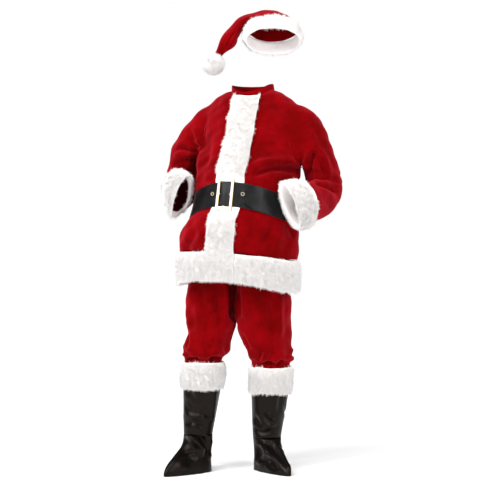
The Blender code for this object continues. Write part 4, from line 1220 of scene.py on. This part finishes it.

# %% [markdown]
# One strand is a cone without a base. It notes how far up itself each point is, for the finish to paint
# its root darker, as painted shade.

# %% One strand
strand = add_node(
    pile_group,
    "GeometryNodeMeshCone",
    {"Vertices": 3, "Radius Bottom": pile_in["Width"], "Depth": pile_in["Length"]},
    fill_type="NONE",
)
up_strand = add_node(pile_group, "ShaderNodeSeparateXYZ", {0: where}).outputs["Z"]
share_up = calculate(pile_group, "DIVIDE", up_strand, pile_in["Length"])
marked_strand = add_node(
    pile_group,
    "GeometryNodeStoreNamedAttribute",
    {"Geometry": strand.outputs["Mesh"], "Name": "along_strand", "Value": share_up},
    data_type="FLOAT",
    domain="POINT",
).outputs[0]
print("one strand:", strand.inputs["Vertices"].default_value, "sides")

# %% [markdown]
# Strands differ in size. Four things decide it: chance, the pile's height at that place, tufts of longer
# and shorter strands, and the room that the belt leaves. The strands are then planted and made real.

# %% Plant the strands
SHORTEST, LONGEST = 0.65, 1.3  # by chance alone
EDGE_SIZE, SHORT_AT, TALL_AT = 0.7, 0.2, 0.9  # the size at an edge, and where it starts and ends to grow
TUFT_SCALE, TUFT_LOW, TUFT_HIGH = 110.0, 0.36, 0.64

by_chance = add_node(
    pile_group,
    "FunctionNodeRandomValue",
    {2: SHORTEST, 3: LONGEST, "Seed": pile_in["Seed"]},
    data_type="FLOAT",
).outputs[1]
by_height = ramp(pile_group, height, SHORT_AT, TALL_AT, EDGE_SIZE, 1.0)
tufts = add_node(pile_group, "ShaderNodeTexNoise", {"Vector": where, "Scale": TUFT_SCALE, "Detail": 1.0})
smaller = calculate(pile_group, "SUBTRACT", 1.0, pile_in["Tufts"])
larger = calculate(pile_group, "ADD", 1.0, pile_in["Tufts"])
by_tuft = ramp(pile_group, tufts.outputs[0], TUFT_LOW, TUFT_HIGH, smaller, larger)
strand_size = by_chance
for factor in (by_height, by_tuft, room):
    strand_size = calculate(pile_group, "MULTIPLY", strand_size, factor)
planted = add_node(
    pile_group,
    "GeometryNodeInstanceOnPoints",
    {
        "Points": scatter["Points"],
        "Instance": marked_strand,
        "Rotation": turned.outputs[0],
        "Scale": strand_size,
    },
)
realized = add_node(pile_group, "GeometryNodeRealizeInstances", {0: planted.outputs[0]})
pile_group.links.new(realized.outputs[0], pile_out["Strands"])
print("nodes in the pile's group:", len(pile_group.nodes))

# %% [markdown]
# The pile becomes a mesh of its own on the backing's place, because it has another finish.


def grow_pile(backing, node, **choices):
    """The strands as a mesh of their own, on the same place as the backing."""
    pile = bpy.data.objects.new(node + "_pile", backing.data.copy())
    pile.data.name = pile.name
    scene.collection.objects.link(pile)
    for group in backing.vertex_groups:
        if group.name not in pile.vertex_groups:
            pile.vertex_groups.new(name=group.name)
    modifier = pile.modifiers.new("pile", "NODES")
    modifier.node_group = pile_group
    for name, value in choices.items():
        modifier[PILE_SOCKETS[name.replace("_", " ")]] = value
    select_only(pile)
    bpy.ops.object.modifier_apply(modifier=modifier.name)
    finish_piece(pile, white_fur, "white_fur", node)
    print(f"{node}: {len(pile.data.polygons) // 3} strands")
    return pile


# %% [markdown]
# The bands differ in size, in the way that they are combed and in the flat strip that they were cut from.
# The pile of a standing band hangs down. On a cuff it is combed towards the hand. On the hat's brim it
# stands up, as the brim is brushed when the hat is put on.

# %% Make the fur bands
DOWN = (0.0, 0.0, -0.9)
FUR_BANDS = {  # node: (flat size, comb, spacing, seed)
    "jacket_hem_fur": ((1.30, 0.14), DOWN, 0.00135, 3),
    "jacket_placket_fur": ((0.116, 0.64), DOWN, 0.00120, 5),
    "jacket_cuff_fur_left": ((0.44, 0.10), (-0.25, -0.8, -0.2), 0.00120, 7),
    "jacket_cuff_fur_right": ((0.42, 0.08), (0.5, -0.7, -0.2), 0.00115, 11),
    "boot_fur_left": ((0.50, 0.115), DOWN, 0.00130, 13),
    "boot_fur_right": ((0.50, 0.115), DOWN, 0.00130, 17),
    "hat_brim_fur": ((0.58, 0.065), (0.0, 0.0, 0.5), 0.00115, 19),
}
PLACKET_BACK = (0.0, 1.0, 0.0)

for node, (flat, comb, spacing, seed) in FUR_BANDS.items():
    backing = make_backing(node, back=PLACKET_BACK if node == "jacket_placket_fur" else None)
    pile = grow_pile(backing, node, Comb=comb, Spacing=spacing, Seed=seed)
    area = area_of(backing) / 2
    finish_piece(backing, fur_backing, "white_fur", node)
    print(f"{node}: {area:.4f} m2 of a {flat[0] * flat[1]:.4f} m2 strip")

# %% [markdown]
# The pompom is a ball of the same fur, drawn together over stuffing. A ball of faces of one size is the
# core, and its pile stands straight out in clumps.

# %% Make the pompom
POMPOM_CORE, POMPOM_ASIDE = 0.034, (0.002, 0.0, 0.009)  # the core sits a little above its solid's middle
CORE_WAVER = 0.9
POMPOM_PILE = {
    "Comb": (0.0, 0.0, -0.25),
    "Upright": 0.75,
    "Unruly": 0.8,
    "Spacing": 0.00095,
    "Length": 0.0130,
    "Tufts": 0.1,
    "Seed": 23,
}

low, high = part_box("hat_pompom")
pompom_middle = np.array((low + high) / 2) + POMPOM_ASIDE
bpy.ops.object.select_all(action="DESELECT")
bpy.ops.mesh.primitive_ico_sphere_add(subdivisions=5, radius=POMPOM_CORE, location=pompom_middle)
core = bpy.context.object
core.name = core.data.name = "hat_pompom_backing"
bpy.ops.object.transform_apply(location=True, rotation=True, scale=True)
core.vertex_groups.new(name="pile").add(range(len(core.data.vertices)), 1.0, "REPLACE")
leave_room(core, ())
waver(core, CORE_WAVER)
grow_pile(core, "hat_pompom", **POMPOM_PILE)
finish_piece(core, fur_backing, "white_fur", "hat_pompom")

# %% [markdown]
# ## Belt
# The strap is one strip with rounded edges, its pointed end laid over its beginning. Where it goes
# through the buckle it runs over the bar at the back, and that lifts a low ridge in the middle of the
# window.

# %% Make the strap
LEATHER_WALL, LEATHER_THICKNESS = 0.003, 0.0026
EDGE_ROUNDING, SHARP_EDGE = 0.0007, math.radians(60)
BELT_CREASES = [
    (20, -0.112, 1.130, -0.112, 1.090, -0.112, 1.050, 0.0090, -0.0016),
    (20, -0.062, 1.130, -0.058, 1.090, -0.062, 1.050, 0.0120, 0.0012),
    (20, 0.020, 1.120, 0.030, 1.085, 0.024, 1.045, 0.0200, -0.0012),
    (20, 0.075, 1.115, 0.085, 1.075, 0.080, 1.040, 0.0160, 0.0012),
]

strap = keep_outer_side(copy_of("belt_strap", "belt_strap_skin"), LEATHER_WALL)
subdivide(strap, 2)
press(strap, BELT_CREASES)
print(f"belt: {area_of(strap):.4f} m2")
apply_modifier(strap, "SOLIDIFY", thickness=LEATHER_THICKNESS, offset=-1)
apply_modifier(
    strap, "BEVEL", width=EDGE_ROUNDING, segments=2, limit_method="ANGLE", angle_limit=SHARP_EDGE
)
finish_piece(strap, black_leather, "black_leather", "belt_strap")

# %% [markdown]
# The buckle and the eyelets are true solids already, with their own rounded edges. They stay, and get
# their metal. So do the elastics that hold the boot covers under the shoes.

# %% Finish the solids that stay
KEPT = {
    "belt_buckle": gilt_metal,
    "belt_eyelet_left": gilt_metal,
    "belt_eyelet_right": gilt_metal,
    "boot_elastic_left": black_elastic,
    "boot_elastic_right": black_elastic,
}
for node, finish in KEPT.items():
    NODES[node].data.materials.clear()
    NODES[node].data.materials.append(finish)
print("kept:", list(KEPT))

# %% [markdown]
# ## Boot covers
# Each cover is a vinyl shaft and a foot, sewn at the ankle. Vinyl doesn't drape as cloth does: it buckles
# into facets with sharp ridges between them. The same pressing tool makes them, with narrow widths. The
# two shafts buckle in different places, because no two legs stand alike.

# %% The creases of the boot shafts
BOOT_CREASES = {
    "boot_shaft_right": [
        (20, -0.268, 0.328, -0.242, 0.309, -0.214, 0.278, 0.0120, 0.007, 0.003),
        (20, -0.265, 0.294, -0.234, 0.259, -0.203, 0.232, 0.0160, 0.006, 0.002),
        (20, -0.265, 0.186, -0.234, 0.204, -0.180, 0.178, 0.0120, 0.007, 0.003),
        (20, -0.150, 0.330, -0.155, 0.260, -0.163, 0.185, 0.0110, -0.005),
        (20, -0.190, 0.330, -0.188, 0.290, -0.196, 0.240, 0.0180, 0.004),
        (200, 0.150, 0.310, 0.190, 0.270, 0.220, 0.250, 0.0080, 0.004),
        (200, 0.140, 0.230, 0.190, 0.200, 0.240, 0.205, 0.0070, 0.005),
        (110, -0.080, 0.280, -0.040, 0.240, 0.000, 0.220, 0.0070, 0.004),
        (290, 0.000, 0.270, 0.040, 0.230, 0.080, 0.215, 0.0070, 0.004),
    ],
    "boot_shaft_left": [
        (20, 0.050, 0.244, 0.066, 0.225, 0.086, 0.209, 0.0060, -0.007),
        (20, 0.042, 0.230, 0.058, 0.208, 0.080, 0.192, 0.0090, 0.009),
        (20, 0.070, 0.315, 0.067, 0.284, 0.060, 0.252, 0.0120, 0.004),
        (20, 0.002, 0.182, 0.047, 0.155, 0.110, 0.188, 0.0090, 0.009, 0.003),
        (20, 0.002, 0.222, 0.020, 0.200, 0.032, 0.172, 0.0100, 0.006),
        (20, 0.112, 0.325, 0.108, 0.280, 0.104, 0.235, 0.0100, 0.005),
        (200, -0.120, 0.290, -0.080, 0.260, -0.040, 0.250, 0.0080, 0.004),
        (200, -0.110, 0.210, -0.070, 0.190, -0.030, 0.200, 0.0070, 0.005),
        (110, 0.000, 0.270, 0.050, 0.230, 0.090, 0.215, 0.0070, 0.004),
    ],
}
print("creases:", sum(len(rows) for rows in BOOT_CREASES.values()))

# %% [markdown]
# On the foot, a ridge runs down the instep, with a broad hollow on each side of it where the vinyl sinks
# between ankle and toe.

# %% The creases of the boot feet
BOOT_CREASES |= {
    "boot_vamp_right": [
        (20, -0.258, 0.160, -0.224, 0.126, -0.184, 0.082, 0.0120, -0.014),
        (20, -0.290, 0.112, -0.252, 0.084, -0.222, 0.044, 0.0240, 0.012),
        (20, -0.212, 0.150, -0.186, 0.118, -0.170, 0.066, 0.0130, 0.014),
        (20, -0.162, 0.130, -0.164, 0.090, -0.170, 0.045, 0.0090, -0.006),
        (110, -0.100, 0.110, -0.060, 0.090, -0.020, 0.110, 0.0070, 0.004),
        (290, 0.030, 0.110, 0.080, 0.080, 0.120, 0.050, 0.0070, 0.004),
    ],
    "boot_vamp_left": [
        (20, 0.034, 0.114, 0.058, 0.084, 0.110, 0.044, 0.0100, -0.010),
        (20, 0.062, 0.084, 0.036, 0.056, 0.022, 0.024, 0.0090, -0.008),
        (20, 0.068, 0.126, 0.104, 0.084, 0.140, 0.036, 0.0140, 0.011),
        (20, 0.013, 0.106, 0.024, 0.070, 0.040, 0.036, 0.0140, 0.010),
        (20, 0.078, 0.124, 0.124, 0.070, 0.156, 0.010, 0.0090, -0.007),
        (20, 0.004, 0.144, 0.058, 0.135, 0.110, 0.144, 0.0070, 0.007, 0.002),
        (20, 0.060, 0.054, 0.078, 0.040, 0.100, 0.020, 0.0120, 0.007),
        (200, -0.080, 0.110, -0.050, 0.080, -0.020, 0.060, 0.0070, 0.004),
        (110, 0.000, 0.110, 0.040, 0.080, 0.090, 0.060, 0.0070, 0.004),
    ],
}
print("creases:", sum(len(rows) for rows in BOOT_CREASES.values()))

# %% [markdown]
# The pieces are made as the cloth is, from the outer side of the solid. Solidify makes only the rim here,
# because nobody sees into a cover once it is worn.

# %% Make the boot covers
VINYL_WALL, VINYL_THICKNESS = 0.0016, 0.0014


def make_boot_piece(node):
    piece = keep_outer_side(copy_of(node, node + "_vinyl"), VINYL_WALL)
    subdivide(piece, 3)
    press(piece, BOOT_CREASES[node])
    print(f"{node}: {area_of(piece):.4f} m2")
    apply_modifier(
        piece, "SOLIDIFY", thickness=VINYL_THICKNESS, offset=-1, use_rim=True, use_rim_only=True
    )
    finish_piece(piece, black_vinyl, "black_vinyl", node)


for node in BOOT_CREASES:
    make_boot_piece(node)
